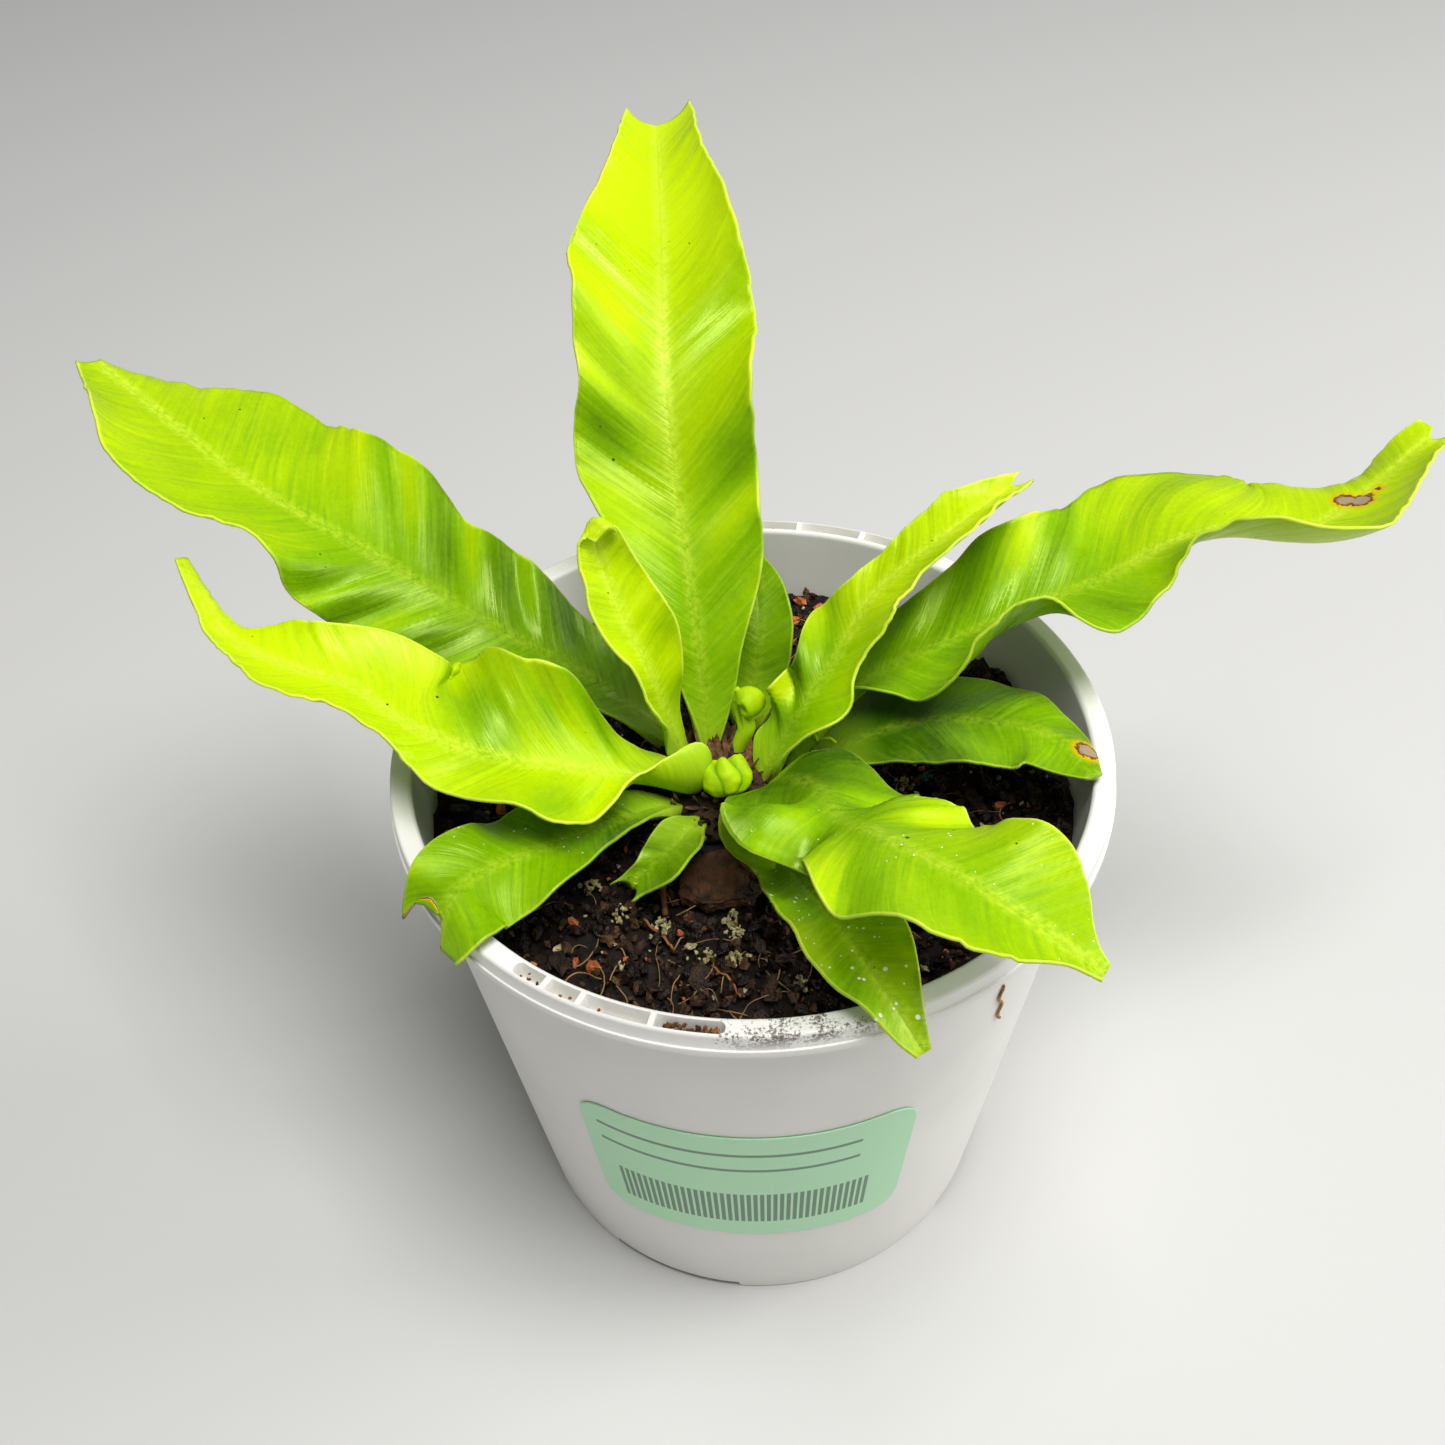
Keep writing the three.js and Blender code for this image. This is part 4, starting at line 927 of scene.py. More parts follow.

# Each frond from base to tip, in mm. midrib holds evenly spread points on it. For each half, half
# is its breadth and tilt its lift in degrees, at evenly spread shares of the length, and wave
# holds (place, height) knots along the veins, which slant by slant mm for each mm of breadth.
# pleats is the strength of the fine folds. notch is the depth of the notch in the tip, and cleft
# its middle and half width as shares of the breadth. tone runs from deep green at 0 to lime at 1,
# at the base and at the tip. painted_shading holds dips of painted shade in the blade's hollows,
# as (run, across, reach, depth), with painted light where the depth is negative. spots are dead
# ones as (run, across, radius). torn is how far a torn tip has died, and dust how much white dust
# lies on the blade.
FRONDS = {
    "frond_back": dict(
        midrib=[(-6.5, 4.5, 83), (-8, 10, 100), (-11.5, 24.5, 118), (-13.5, 37, 130),
                (-15, 55.5, 139), (-18, 85.9, 146)],
        left=dict(half=[1.3, 2.1, 3.5, 5.2, 7.2, 9.2, 10.8, 12.4, 13.9, 13.7, 13, 13.8, 14.8, 14.7,
                        13.6, 12, 9.8, 8.3, 7.2, 5.9, 4.7],
                  tilt=[20, 20, 25, 22, 5, 10, 22, 18, 25, 30, 0],
                  wave=[(10, 0), (24, 0.6), (38, -0.9), (46, 1.5), (49, 0.8), (55, 1.7),
                        (63, -0.4), (71, 1), (85, -0.5), (100, 0.4)]),
        right=dict(half=[1.3, 3.3, 5, 6.5, 8.8, 10.8, 11.7, 12, 12.4, 14.1, 15.4, 14.1, 13.3, 13.6,
                         14, 12.4, 10.1, 8.8, 7.9, 6.7, 5.4],
                   tilt=[10, 12, 10, 10, 18, 30, 15, 30, 35, 32, 10],
                   wave=[(10, 0), (19, -0.6), (26, 0.8), (31, -0.6), (40, 1.7), (53, -1.3),
                         (66, 1.9), (80, -0.4), (95, 0.6), (108, 0)]),
        painted_shading=[(66, -12, 5, 0.1), (48, -9, 5, 0.12), (44, 10, 6, 0.1), (57, 10, 6, 0.1),
                 (82, 4, 8, -0.1)],
        notch=5, slant=0.85, tone=(0.5, 1), slot="frond_lime"),
    "frond_back_left": dict(
        midrib=[(-11.5, 5.8, 82), (-22, 9, 91), (-40, 12, 101.5), (-58, 19, 109), (-77, 27, 116),
                (-103, 45, 125)],
        left=dict(half=[1.3, 3.2, 5, 6.8, 8.3, 9.6, 10.6, 11.2, 11.5, 11.9, 12.6, 13.6, 13.9, 13.6,
                        14.9, 15.7, 15.7, 13.9, 10.2, 5.9, 2.5],
                  tilt=[20, 20, 12, -10, -25, -16, 20, 20, 20, 34, 10],
                  wave=[(15, 0), (25, 0.7), (32, -1), (38, 0.9), (43, -0.8), (48.5, 0.9),
                        (50, 0.2), (55, 1.8), (66, -0.5), (80, 0.6), (95, -0.3)]),
        right=dict(half=[1.3, 2.9, 6, 8.4, 9.5, 10.6, 12.2, 13.1, 13.3, 15, 16.8, 17.8, 17.5, 17.9,
                         17.6, 17.2, 15.4, 10.9, 8.6, 5.1, 2.5],
                   tilt=[10, 0, 8, 15, 8, 10, 10, 2, 0, -12, -40],
                   wave=[(8, -0.8), (15, -1), (24, 1.2), (28, -0.5), (34, 1.3), (38, -0.7),
                         (45.5, 1.7), (49, 0.5), (53.5, 1.5), (59, 0), (63, -0.9), (70, -0.2),
                         (76, 0.3), (84, 0.6), (92, -0.2), (105, 0.2)]),
        painted_shading=[(58, -8, 7, 0.15), (45, 7, 6, 0.05), (31, 5, 9, 0.1), (18, 4, 9, 0.1),
                 (85, 4, 9, 0.1)],
        notch=1.5, slant=0.68, tone=(0.25, 0.8), slot="frond_lime"),
    "frond_left": dict(
        midrib=[(-8.5, -2.5, 83), (-20.5, -9.5, 92), (-33.5, -14, 99), (-46, -12, 103),
                (-54.7, -6.9, 105.2), (-65.3, -4.8, 107.5), (-73.1, -1, 109.3), (-77.4, 5.1, 111),
                (-81.8, 11.9, 112.5)],
        left=dict(half=[1.3, 10.5, 7.2, 5.4, 6.8, 10.6, 13, 10.8, 8.1, 7.2, 5.6, 5.2, 7.6, 10.4,
                        11, 9.2, 5.4, 3.4, 2.4, 2, 1.6, 1.2],
                  tilt=[70, 105, 92, 48, 20, 28, 20, -5, -5, 15, 25, 30, 30, 30, 30, 28, 25, 15,
                        5],
                  wave=[(5, 0), (9, 0.3), (15, -1.3), (22, 0.8), (34, -0.2), (46, 0.3), (62, 0)]),
        right=dict(half=[1.3, 4.2, 5.1, 6.8, 10, 13.4, 15, 14.6, 15.6, 16.8, 15, 12.4, 10.6, 8.7,
                         8, 7.5, 4.2, 3.4, 2.6, 2, 1.2],
                   tilt=[0, -10, 5, 25, 38, 40, 25, 1, -2, 14, 24, 14, -5, -25, -45, -50],
                   wave=[(4, 0), (9, -0.5), (13, 0.4), (17, -0.4), (21.5, 0.1), (26, 0.2),
                         (31, -0.4), (34.5, -0.7), (39.5, 1.1), (46, 0.2), (52, 0), (58, -0.2),
                         (66, 0.3), (76, 0)]),
        painted_shading=[(38, 8, 5, 0.4), (33, 3, 4, 0.25), (26, 9, 5, 0.2), (15, 9, 5, 0.25),
                 (17, -3, 5, -0.1)],
        notch=0, slant=0.95, tone=(0.75, 1), slot="frond_lime"),
    "frond_young_hooked": dict(
        midrib=[(-10.4, 1.6, 83), (-14, 2.5, 98), (-17.5, 4.5, 107), (-20.6, 7.6, 115),
                (-21.8, 9.2, 120.2), (-21, 9, 122.2), (-19.2, 7.4, 122)],
        left=dict(half=[1.2, 2.3, 3.8, 5.6, 5.9, 5.9, 6.3, 5.8, 4.6, 3.6, 2.4],
                  tilt=[0, 45, 42, 32, 18, 10, 25],
                  wave=[(6, 0), (12, -0.3), (18, 0.3), (24, -0.3), (31, 0.3), (38, 0)]),
        right=dict(half=[1.2, 2.3, 3.5, 4.6, 6.1, 7.1, 6.9, 5.8, 4.8, 3.8, 2.2],
                   tilt=[0, -8, 18, 32, 28, 36, 40],
                   wave=[(6, 0), (12, 0.3), (17, -0.3), (23, 0.4), (30, -0.3), (38, 0)]),
        notch=0, tone=(0.8, 0.95), slot="frond_lime"),
    "frond_behind": dict(
        midrib=[(-1, 8.5, 82), (-0.5, 11.8, 88), (0.5, 15, 95), (0.2, 20.6, 100),
                (-1.3, 26.7, 103)],
        left=dict(half=[1.2, 2.9, 4.2, 4.9, 5.3, 5.3, 4.6, 3.3, 1.5],
                  tilt=[20, 20, 20, 20, 20, 10],
                  wave=[(0, 0), (200, 0)]),
        right=dict(half=[1.2, 2.9, 4.2, 4.9, 5.3, 5.3, 4.6, 3.3, 1.5],
                   tilt=[20, 15, 15, 15, 15, 10],
                   wave=[(0, 0), (200, 0)]),
        notch=0, pleats=0.35, tone=(0.2, 0.35), slot="frond_deep_green"),
    "frond_right_middle": dict(
        midrib=[(1.5, -0.8, 82), (7.5, 1, 95), (14, 8, 103), (17.5, 12, 107.5), (26, 17, 112.8),
                (39.4, 29.4, 115.8)],
        left=dict(half=[1.3, 2.3, 3.5, 4.7, 5, 4.8, 5.1, 6.6, 7.1, 6.3, 6, 5.5, 5, 5.3, 6, 6.7,
                        7.3, 7.7, 7.6, 6.8, 5.6, 4.7, 4.6, 4.7, 4.9, 5, 5.2, 5.5, 5.7, 5.9, 6, 6,
                        5.9, 6.1, 5, 4.3, 3.6, 3, 2.5, 2, 1.4],
                  tilt=[20, 5, -10, 0, 20, 20, 5, 0, 5, 0, 5, 0, 5, 20, 35, 0],
                  wave=[(1, 0), (4, 0.9), (6.5, -0.7), (9.5, 1.6), (12.5, -2), (17, 0.9),
                        (23, -0.5), (28, 0.3), (36, -0.2), (42, 0)]),
        right=dict(half=[1.3, 2.3, 3.9, 5.3, 6.2, 7.6, 7.4, 6, 6, 6.7, 7.3, 7.2, 5.9, 4.7, 5.3,
                         5.6, 4.9, 3.9, 3, 2.1, 1.2],
                   tilt=[15, 42, 38, 8, 25, 22, 28, 36, 38, 38, 0],
                   wave=[(5, 0), (10, -0.3), (16, 0.4), (22, -0.3), (28, 0.4), (36, -0.2),
                         (45, 0)]),
        painted_shading=[(22, -3, 5, 0.25), (12, -3, 5, 0.3), (35, 4, 6, -0.1)],
        notch=3, slant=0.9, tone=(0.6, 0.9), slot="frond_lime"),
    "frond_right_long": dict(
        midrib=[(4.5, 2, 82), (17.5, 11, 92), (30, 13.5, 98), (49.5, 18.5, 105), (65, 25, 109.2),
                (82.5, 27.5, 109.5), (102.5, 45.8, 113)],
        left=dict(half=[1.3, 2.7, 4.3, 6, 7.8, 9.4, 11.2, 13.4, 13.8, 14.1, 15.6, 18.4, 19.4, 18.2,
                        16.4, 15.2, 13, 9.8, 6.5, 5, 3.5],
                  tilt=[15, 30, 15, 18, 32, 2, -8, -12, -12, -35, 10],
                  wave=[(8, 0.3), (17, -0.45), (22, 0.75), (28, -0.6), (36, 0.75), (41, -0.6),
                        (47, 0.6), (51, 0.15), (57, -0.5), (64, 0.5), (70, 0.35), (77, 0.3),
                        (90, 0), (110, 0)]),
        right=dict(half=[1.3, 2.8, 4.5, 6.2, 8.4, 10.9, 12.5, 13.1, 12.6, 11.2, 9, 7.6, 10.2, 13.5,
                         15.5, 15.2, 11.8, 9.3, 7.4, 4.8, 3.5],
                   tilt=[15, 40, 55, 60, 20, 5, 20, 45, 55, 50, 12, -2, 12, 44, 46, 44, 40, 36, 32,
                         33, 36, 38, 30, 0],
                   wave=[(5, 0), (20, 0.45), (28, -0.45), (36, 0.45), (50, 0.45), (57, -0.75),
                         (66, 0.6), (80, 0), (110, 0)]),
        painted_shading=[(55, -7, 7, 0.2), (34, -3, 7, 0.1), (56, 6, 5, 0.3), (24, 0, 6, 0.05),
                 (47, -11, 4, -0.2), (80, 0, 9, -0.1)],
        spots=[(95.4, -1.3, 1.3), (96.6, 0.9, 1.4), (98.5, 1, 0.3), (100.3, 1.1, 0.3)],
        notch=2.2, slant=0.85, cleft=(0.15, 0.4), tone=(0.42, 0.85), slot="frond_lime"),
    "frond_right_low": dict(
        midrib=[(7.5, 1.2, 81), (14, 3, 85.8), (25, 5, 89.2), (36, 3, 91), (44, -1, 92),
                (48.5, -8, 92)],
        left=dict(half=[1.2, 3.9, 7, 9, 9.3, 9.6, 10.8, 11.4, 9.7, 7.3, 5.3, 3.2, 1.2],
                  tilt=[10, 10, 5, -5, -10, -15, -20],
                  wave=[(6, 0), (14, 0.5), (22, -0.7), (30, 0.6), (38, -0.6), (46, 0.4), (55, 0)]),
        right=dict(half=[1.2, 3.1, 5, 7, 9.1, 11, 12.4, 13.3, 12.3, 10.4, 9.4, 6.6, 1.2],
                   tilt=[0, 0, 8, 15, 15, 10, 0],
                   wave=[(6, 0), (14, -0.4), (22, 0.6), (30, -0.5), (38, 0.7), (46, -0.4),
                         (55, 0)]),
        painted_shading=[(14, -4, 7, 0.3), (38, 3, 6, -0.2)],
        spots=[(44.2, -2, 1.5)],
        notch=0, pleats=0.35, tone=(0, 0.3), slot="frond_deep_green"),
    "frond_front_right": dict(
        midrib=[(0.5, -5.5, 82), (5, -12, 94), (9.5, -19, 100), (13, -27, 102.5), (17, -35, 109),
                (25, -43, 112), (34, -49, 110.5), (43, -54, 107)],
        left=dict(half=[1.3, 2, 2.8, 3.7, 5, 6.4, 6.6, 6.3, 6.6, 7.5, 8.1, 8.5, 8.9, 9.1, 9.5,
                        10.7, 12.9, 13.7, 13.2, 10.1, 8.5, 9.4, 11.4, 12.4, 12.8, 12.8, 12.2, 11.2,
                        10.3, 10.3, 10.5, 10.9, 11.3, 11.5, 11.2, 10.5, 9.1, 7, 4.3, 2.5, 1.5],
                  tilt=[10, 15, 5, -18, -15, -10, -15, -12, 15, 5, 0],
                  wave=[(8, 0), (16, 1.4), (24, 0.3), (29, -1.9), (32.5, 1.3), (38, 0.6),
                        (43, -1.2), (49, 0.4), (56, 0.1), (64, -0.2), (72, 0.2)]),
        right=dict(half=[1.3, 2.1, 2.9, 3.7, 4.5, 5.4, 6.5, 7.9, 9.7, 11.6, 12.6, 12.6, 12.4, 13.5,
                         14.6, 15.3, 15.7, 16.3, 14.2, 9.2, 8.3, 8.6, 9.1, 10.2, 11.7, 13, 13.9,
                         14.1, 13.2, 12.1, 11.8, 11.7, 11.5, 10.7, 10.2, 9.2, 7.2, 5, 3, 2.1, 1.5],
                   tilt=[10, 5, 8, -42, 30, -12, 5, 5, 22, 32, 30],
                   wave=[(10, 0), (22, -0.6), (27, 1.4), (33, -1.9), (38, 1.5), (44, -0.5),
                         (50, 0.9), (60, -0.4), (72, 0)]),
        painted_shading=[(22, -5, 9, 0.4), (14, 3, 7, 0.3), (38, 9, 4, 0.5), (45, -8, 5, -0.15),
                 (60, 3, 12, 0.12)],
        notch=0, dust=0.4, tone=(0.35, 0.7), slot="frond_lime"),
    "frond_front": dict(
        midrib=[(-0.5, -8.8, 81), (4, -20.5, 88), (12, -34.5, 92.5), (18.5, -46.5, 93),
                (23.5, -53, 89)],
        left=dict(half=[1.2, 2.4, 3.5, 4.8, 6, 7, 7.6, 7.8, 7.6, 6.9, 5.2, 3, 1.2],
                  tilt=[15, 15, 15, 12, 10, 10],
                  wave=[(8, 0), (18, 0.5), (28, -0.6), (38, 0.6), (47, -0.5), (55, 0)]),
        right=dict(half=[1.2, 2.4, 3.4, 4.1, 4.3, 5.8, 7.7, 9, 8.7, 7, 5.6, 3.5, 1.2],
                   tilt=[10, 5, 25, 27, 27, 20],
                   wave=[(8, 0), (18, -0.6), (28, 0.9), (37, -0.9), (46, 0.8), (55, -0.2)]),
        painted_shading=[(24, 0, 8, 0.2), (42, -4, 6, -0.1)],
        notch=0, pleats=0.35, dust=1, tone=(0.35, 0.6), slot="frond_deep_green"),
    "frond_front_left": dict(
        midrib=[(-10.5, -6, 81.5), (-16, -13, 87), (-25, -22, 91), (-34.5, -29.5, 93),
                (-38, -34.5, 92.5), (-39.5, -38, 88)],
        left=dict(half=[1.2, 1.8, 2.3, 3.3, 3.8, 4.4, 5.6, 6.7, 7.8, 8.3, 8.4, 8.4, 8.2, 7.4, 6.2],
                  tilt=[12, 26, 30, 28, 22, 10, 0, -15, -15, -5, 20],
                  wave=[(6, 0), (15, -0.4), (24, 0.5), (34, -0.6), (43, 0.4), (50, 0)]),
        right=dict(half=[1.2, 2.9, 4, 4.5, 5.2, 6.1, 6.9, 7.9, 8.6, 8, 7.7, 7.9, 7.3, 7.1, 6.2],
                   tilt=[10, 15, 20, 8, 10, 12, 0, 12, 10, 5, 10],
                   wave=[(6, 0), (15, 0.4), (24, -0.5), (33, 0.7), (42, -0.5), (50, 0)]),
        painted_shading=[(15, 0, 8, 0.3), (42, 3, 4, 0.15)],
        notch=6, pleats=0.35, dust=0.7, torn=0.5, cleft=(0.45, 0.62), tone=(0.3, 0.5),
        slot="frond_deep_green"),
    "frond_small_forked": dict(
        midrib=[(-7, -8.8, 81.5), (-9.5, -15.5, 84), (-12.5, -21, 85.5), (-17, -25.5, 85)],
        left=dict(half=[1.1, 1.5, 2.3, 3.6, 5.4, 7, 7.8, 7, 5.9, 3.6, 3],
                  tilt=[0, 20, 45, 40, 30, 15],
                  wave=[(4, 0), (8, 0.5), (11, -0.5), (14, 0.5), (17, -0.5), (21, 0)]),
        right=dict(half=[1.1, 2.3, 3.6, 4.2, 4.1, 3.8, 3.3, 2.8, 2.3, 1.9, 2],
                   tilt=[20, 30, 20, 10, 0, 0],
                   wave=[(4, 0), (8, -0.5), (11, 0.5), (14, -0.5), (17, 0.5), (21, 0)]),
        notch=3, pleats=0.35, dust=0.3, tone=(0.05, 0.25), slot="frond_deep_green"),
}


def along(values, shares):
    """Smooth values at shares 0 to 1 of a list that is spread evenly over them."""
    values = np.array(values, float)
    last = len(values) - 1
    place = np.clip(shares, 0, 1) * last
    i = np.minimum(place.astype(int), last - 1)
    f = place - i
    if values.ndim > 1:
        f = f[:, None]
    ends = np.concatenate(([2 * values[0] - values[1]], values, [2 * values[-1] - values[-2]]))
    a, b, c, d = (ends[i + k] for k in range(4))
    return b + 0.5 * f * (c - a + f * (2 * a - 5 * b + 4 * c - d + f * (3 * (b - c) + d - a)))


def unit(vectors):
    """Vectors brought to a length of 1."""
    return vectors / np.linalg.norm(vectors, axis=-1, keepdims=True)


def smooth_step(values, low, high):
    """0 up to a low limit and 1 from a high one, with a smooth rise between them."""
    t = np.clip((values - low) / (high - low), 0, 1)
    return t * t * (3 - 2 * t)


def midrib_frame(midrib, shares):
    """Points spread evenly along the midrib, with the directions along, across and up."""
    fine = np.linspace(0, 1, 801)
    curve = along(midrib, fine)
    reached = np.concatenate(([0], np.cumsum(np.linalg.norm(np.diff(curve, axis=0), axis=1))))
    length = reached[-1]
    points = along(midrib, np.interp(shares * length, reached, fine))
    forward = unit(np.gradient(points, axis=0))
    span = points[-1] - points[0]
    sideways = unit(np.array((span[1], -span[0], 0)))
    across = unit(sideways - (forward @ sideways)[:, None] * forward)
    return points, forward, across, np.cross(across, forward), length


def bent(fraction, tilt):
    """How far out and up a half reaches at a fraction of its breadth. It bends more outwards."""
    steps = np.linspace(0, 1, 9)
    weights = np.array([0.5] + [1] * 7 + [0.5]) / 8
    angles = np.radians(tilt)[..., None] * (0.4 + 1.2 * fraction[..., None] * steps)
    out, up = ((turned * weights).sum(-1) * fraction for turned in (np.cos(angles), np.sin(angles)))
    return out, up


def swell(knots, places):
    """Heights at places along the blade, which pass smoothly through (place, height) knots."""
    at, height = np.array(knots, float).T
    i = np.clip(np.searchsorted(at, places) - 1, 0, len(at) - 2)
    return height[i] + (height[i + 1] - height[i]) * smooth_step(places, at[i], at[i + 1])


def blade_surface(shape, shares, sides):
    """The blade's middle surface in mm, as rows along the midrib by columns across it, with what
    its material reads: run, distance from the midrib and the margin, vein, slope, and length."""
    points, forward, across, up, length = midrib_frame(shape["midrib"], shares)
    fraction = np.abs(sides)[None, :] * np.ones((len(shares), 1))
    right = (sides > 0)[None, :]
    half = np.where(right, along(shape["right"]["half"], shares)[:, None],
                    along(shape["left"]["half"], shares)[:, None])
    tilt = np.where(right, along(shape["right"]["tilt"], shares)[:, None],
                    along(shape["left"]["tilt"], shares)[:, None])
    out, lift = bent(fraction, tilt)
    near_tip = np.clip((shares - CLEFT_START) / (1 - CLEFT_START), 0, 1)[:, None]
    middle, width = shape.get("cleft", (0, 1))
    cleft = np.clip(1 - ((sides - middle) / width) ** 2, 0, 1) ** 0.8
    cleft = shape["notch"] * cleft * near_tip ** 3
    spots = points[:, None] + across[:, None] * (np.sign(sides)[None, :] * out * half)[..., None]
    spots = spots + up[:, None] * (lift * half)[..., None] - forward[:, None] * cleft[..., None]
    run = shares[:, None] * length
    skew = run - shape.get("slant", VEIN_SLANT) * fraction * half
    normal = unit(np.cross(np.gradient(spots, axis=1), np.gradient(spots, axis=0)))
    grown = smooth_step(run, 6, 16) * smooth_step(length - run, 0, 10)
    before, waves, after = (np.where(right, swell(shape["right"]["wave"], skew + step),
                                     swell(shape["left"]["wave"], skew + step))
                            for step in (-1, 0, 1))
    slope = (after - before) / 2
    spread = smooth_step(fraction, 0, 0.75)
    pleats = PLEAT * np.sin(skew * 1.5 + 2 * np.sin(skew * 0.31))
    pleats = pleats + FINE_PLEAT * np.sin(skew * 3.1 + 1)
    pleats = pleats * (0.6 + 0.5 * np.sin(skew * 0.21 + 2 * right)) * shape.get("pleats", 1)
    frill = FRILL * np.sin(2 * math.pi * run / FRILL_PITCH + 3 * np.sin(run / 9))
    frill = frill * smooth_step(fraction, 0.8, 1)
    groove = GROOVE * np.exp(-(fraction * half / GROOVE_WIDTH) ** 2)
    rise = (waves * spread + pleats * smooth_step(fraction, 0.05, 0.3) + frill) * grown - groove
    spots = spots + normal * rise[..., None]
    margin = (1 - fraction) * half
    margin = np.minimum(margin, (1 - shares[:, None]) * length + 0.3 * (1 - fraction) * half)
    from_midrib = fraction * half * np.sign(sides)[None, :]
    return spots, run, from_midrib, margin, skew, slope * spread * grown, length


def grown_frond(name, shape):
    """A frond from a flat sheet: each of its points is moved to its place on the blade."""
    length = midrib_frame(shape["midrib"], np.linspace(0, 1, 50))[-1]
    rows = round(length / ROW_PITCH)
    piece = primitive(bpy.ops.mesh.primitive_grid_add, name, x_subdivisions=2 * HALF_COLUMNS,
                      y_subdivisions=rows, size=2)
    mesh = piece.data
    flat = np.array([v.co for v in mesh.vertices])
    columns, column = np.unique(flat[:, 0].round(5), return_inverse=True)
    lines, line = np.unique(flat[:, 1].round(5), return_inverse=True)
    # The columns draw together towards the margin, where the blade curls most.
    sides = np.sign(columns) * np.abs(columns) ** 0.85
    shares = (lines + 1) / 2
    spots, run, out, margin, skew, slope, length = blade_surface(shape, shares, sides)
    mesh.vertices.foreach_set("co", (spots[line, column] * MM).ravel())
    base, tip = shape["tone"]
    # The tone is the blade's own colour from base to tip, with painted shade and painted light laid
    # on: darker on wave slopes that turn towards the base, lighter on those that turn to the tip.
    tone = base + (tip - base) * smooth_step(run / length, 0.05, 0.9) - SLOPE_SHADE * slope
    # Dips of painted shade in the blade's hollows, and painted light where the depth is negative.
    for at_run, at_out, reach, depth in shape.get("painted_shading", ()):
        tone = tone - depth * np.exp(-((run - at_run) ** 2 + (out - at_out) ** 2) / reach ** 2)
    scar = np.full_like(out, UNHARMED)
    for spot_run, spot_out, radius in shape.get("spots", ()):
        scar = np.minimum(scar, np.hypot(run - spot_run, out - spot_out) - radius)
    if "torn" in shape:
        scar = np.minimum(scar, (length - run) * 1.8 + 0.5 * np.maximum(0, -out) - shape["torn"])
    dust = np.full_like(out, shape.get("dust", 0))
    fields = dict(scar_mm=scar, dust=dust, run_mm=run + 0 * out, across_mm=out, margin_mm=margin,
                  vein_mm=skew, tone=tone)
    for key, values in fields.items():
        mesh.attributes.new(key, "FLOAT", "POINT").data.foreach_set("value", values[line, column])
    from_rib = np.abs(out)
    spread = np.abs(sides)[None, :] * np.ones_like(out)
    stipe = (1 - smooth_step(run, 2, STIPE_LENGTH)) * np.sqrt(1 - 0.7 * spread ** 2)
    leaf = BLADE + (MARGIN - BLADE) * smooth_step(spread, 0.1, 1)
    keel = KEEL * (1 - 0.75 * run / length) * np.exp(-(from_rib / 0.8) ** 2)
    thickness = leaf + (STIPE - leaf) * stipe + keel * (1 - stipe)
    thickest = STIPE + KEEL
    group = piece.vertex_groups.new(name="thickness")
    for vertex, weight in zip(mesh.vertices, (thickness / thickest)[line, column]):
        group.add([vertex.index], float(weight), "REPLACE")
    mesh.update()
    apply_modifier(piece, "SOLIDIFY", thickness=thickest * MM, offset=-0.15,
                   vertex_group="thickness", material_offset=1)
    piece.vertex_groups.clear()
    mesh.shade_smooth()
    return piece


def laid_over(tree, under, code, limits):
    """Lays a tint over a colour. Its share is the product of what each limit lets through, given
    as (value, where it starts, where it is full, least share, most share)."""
    share = 1.0
    for value, start, full, least, most in limits:
        limit = add(tree, "MapRange", {"Value": value, "From Min": start, "From Max": full,
                                       "To Min": least, "To Max": most}).outputs[0]
        share = add(tree, "Math", {0: limit, 1: share}, operation="MULTIPLY").outputs[0]
    return add(tree, "Mix", {0: share, 6: under, 7: rgb(code)}, data_type="RGBA").outputs[2]


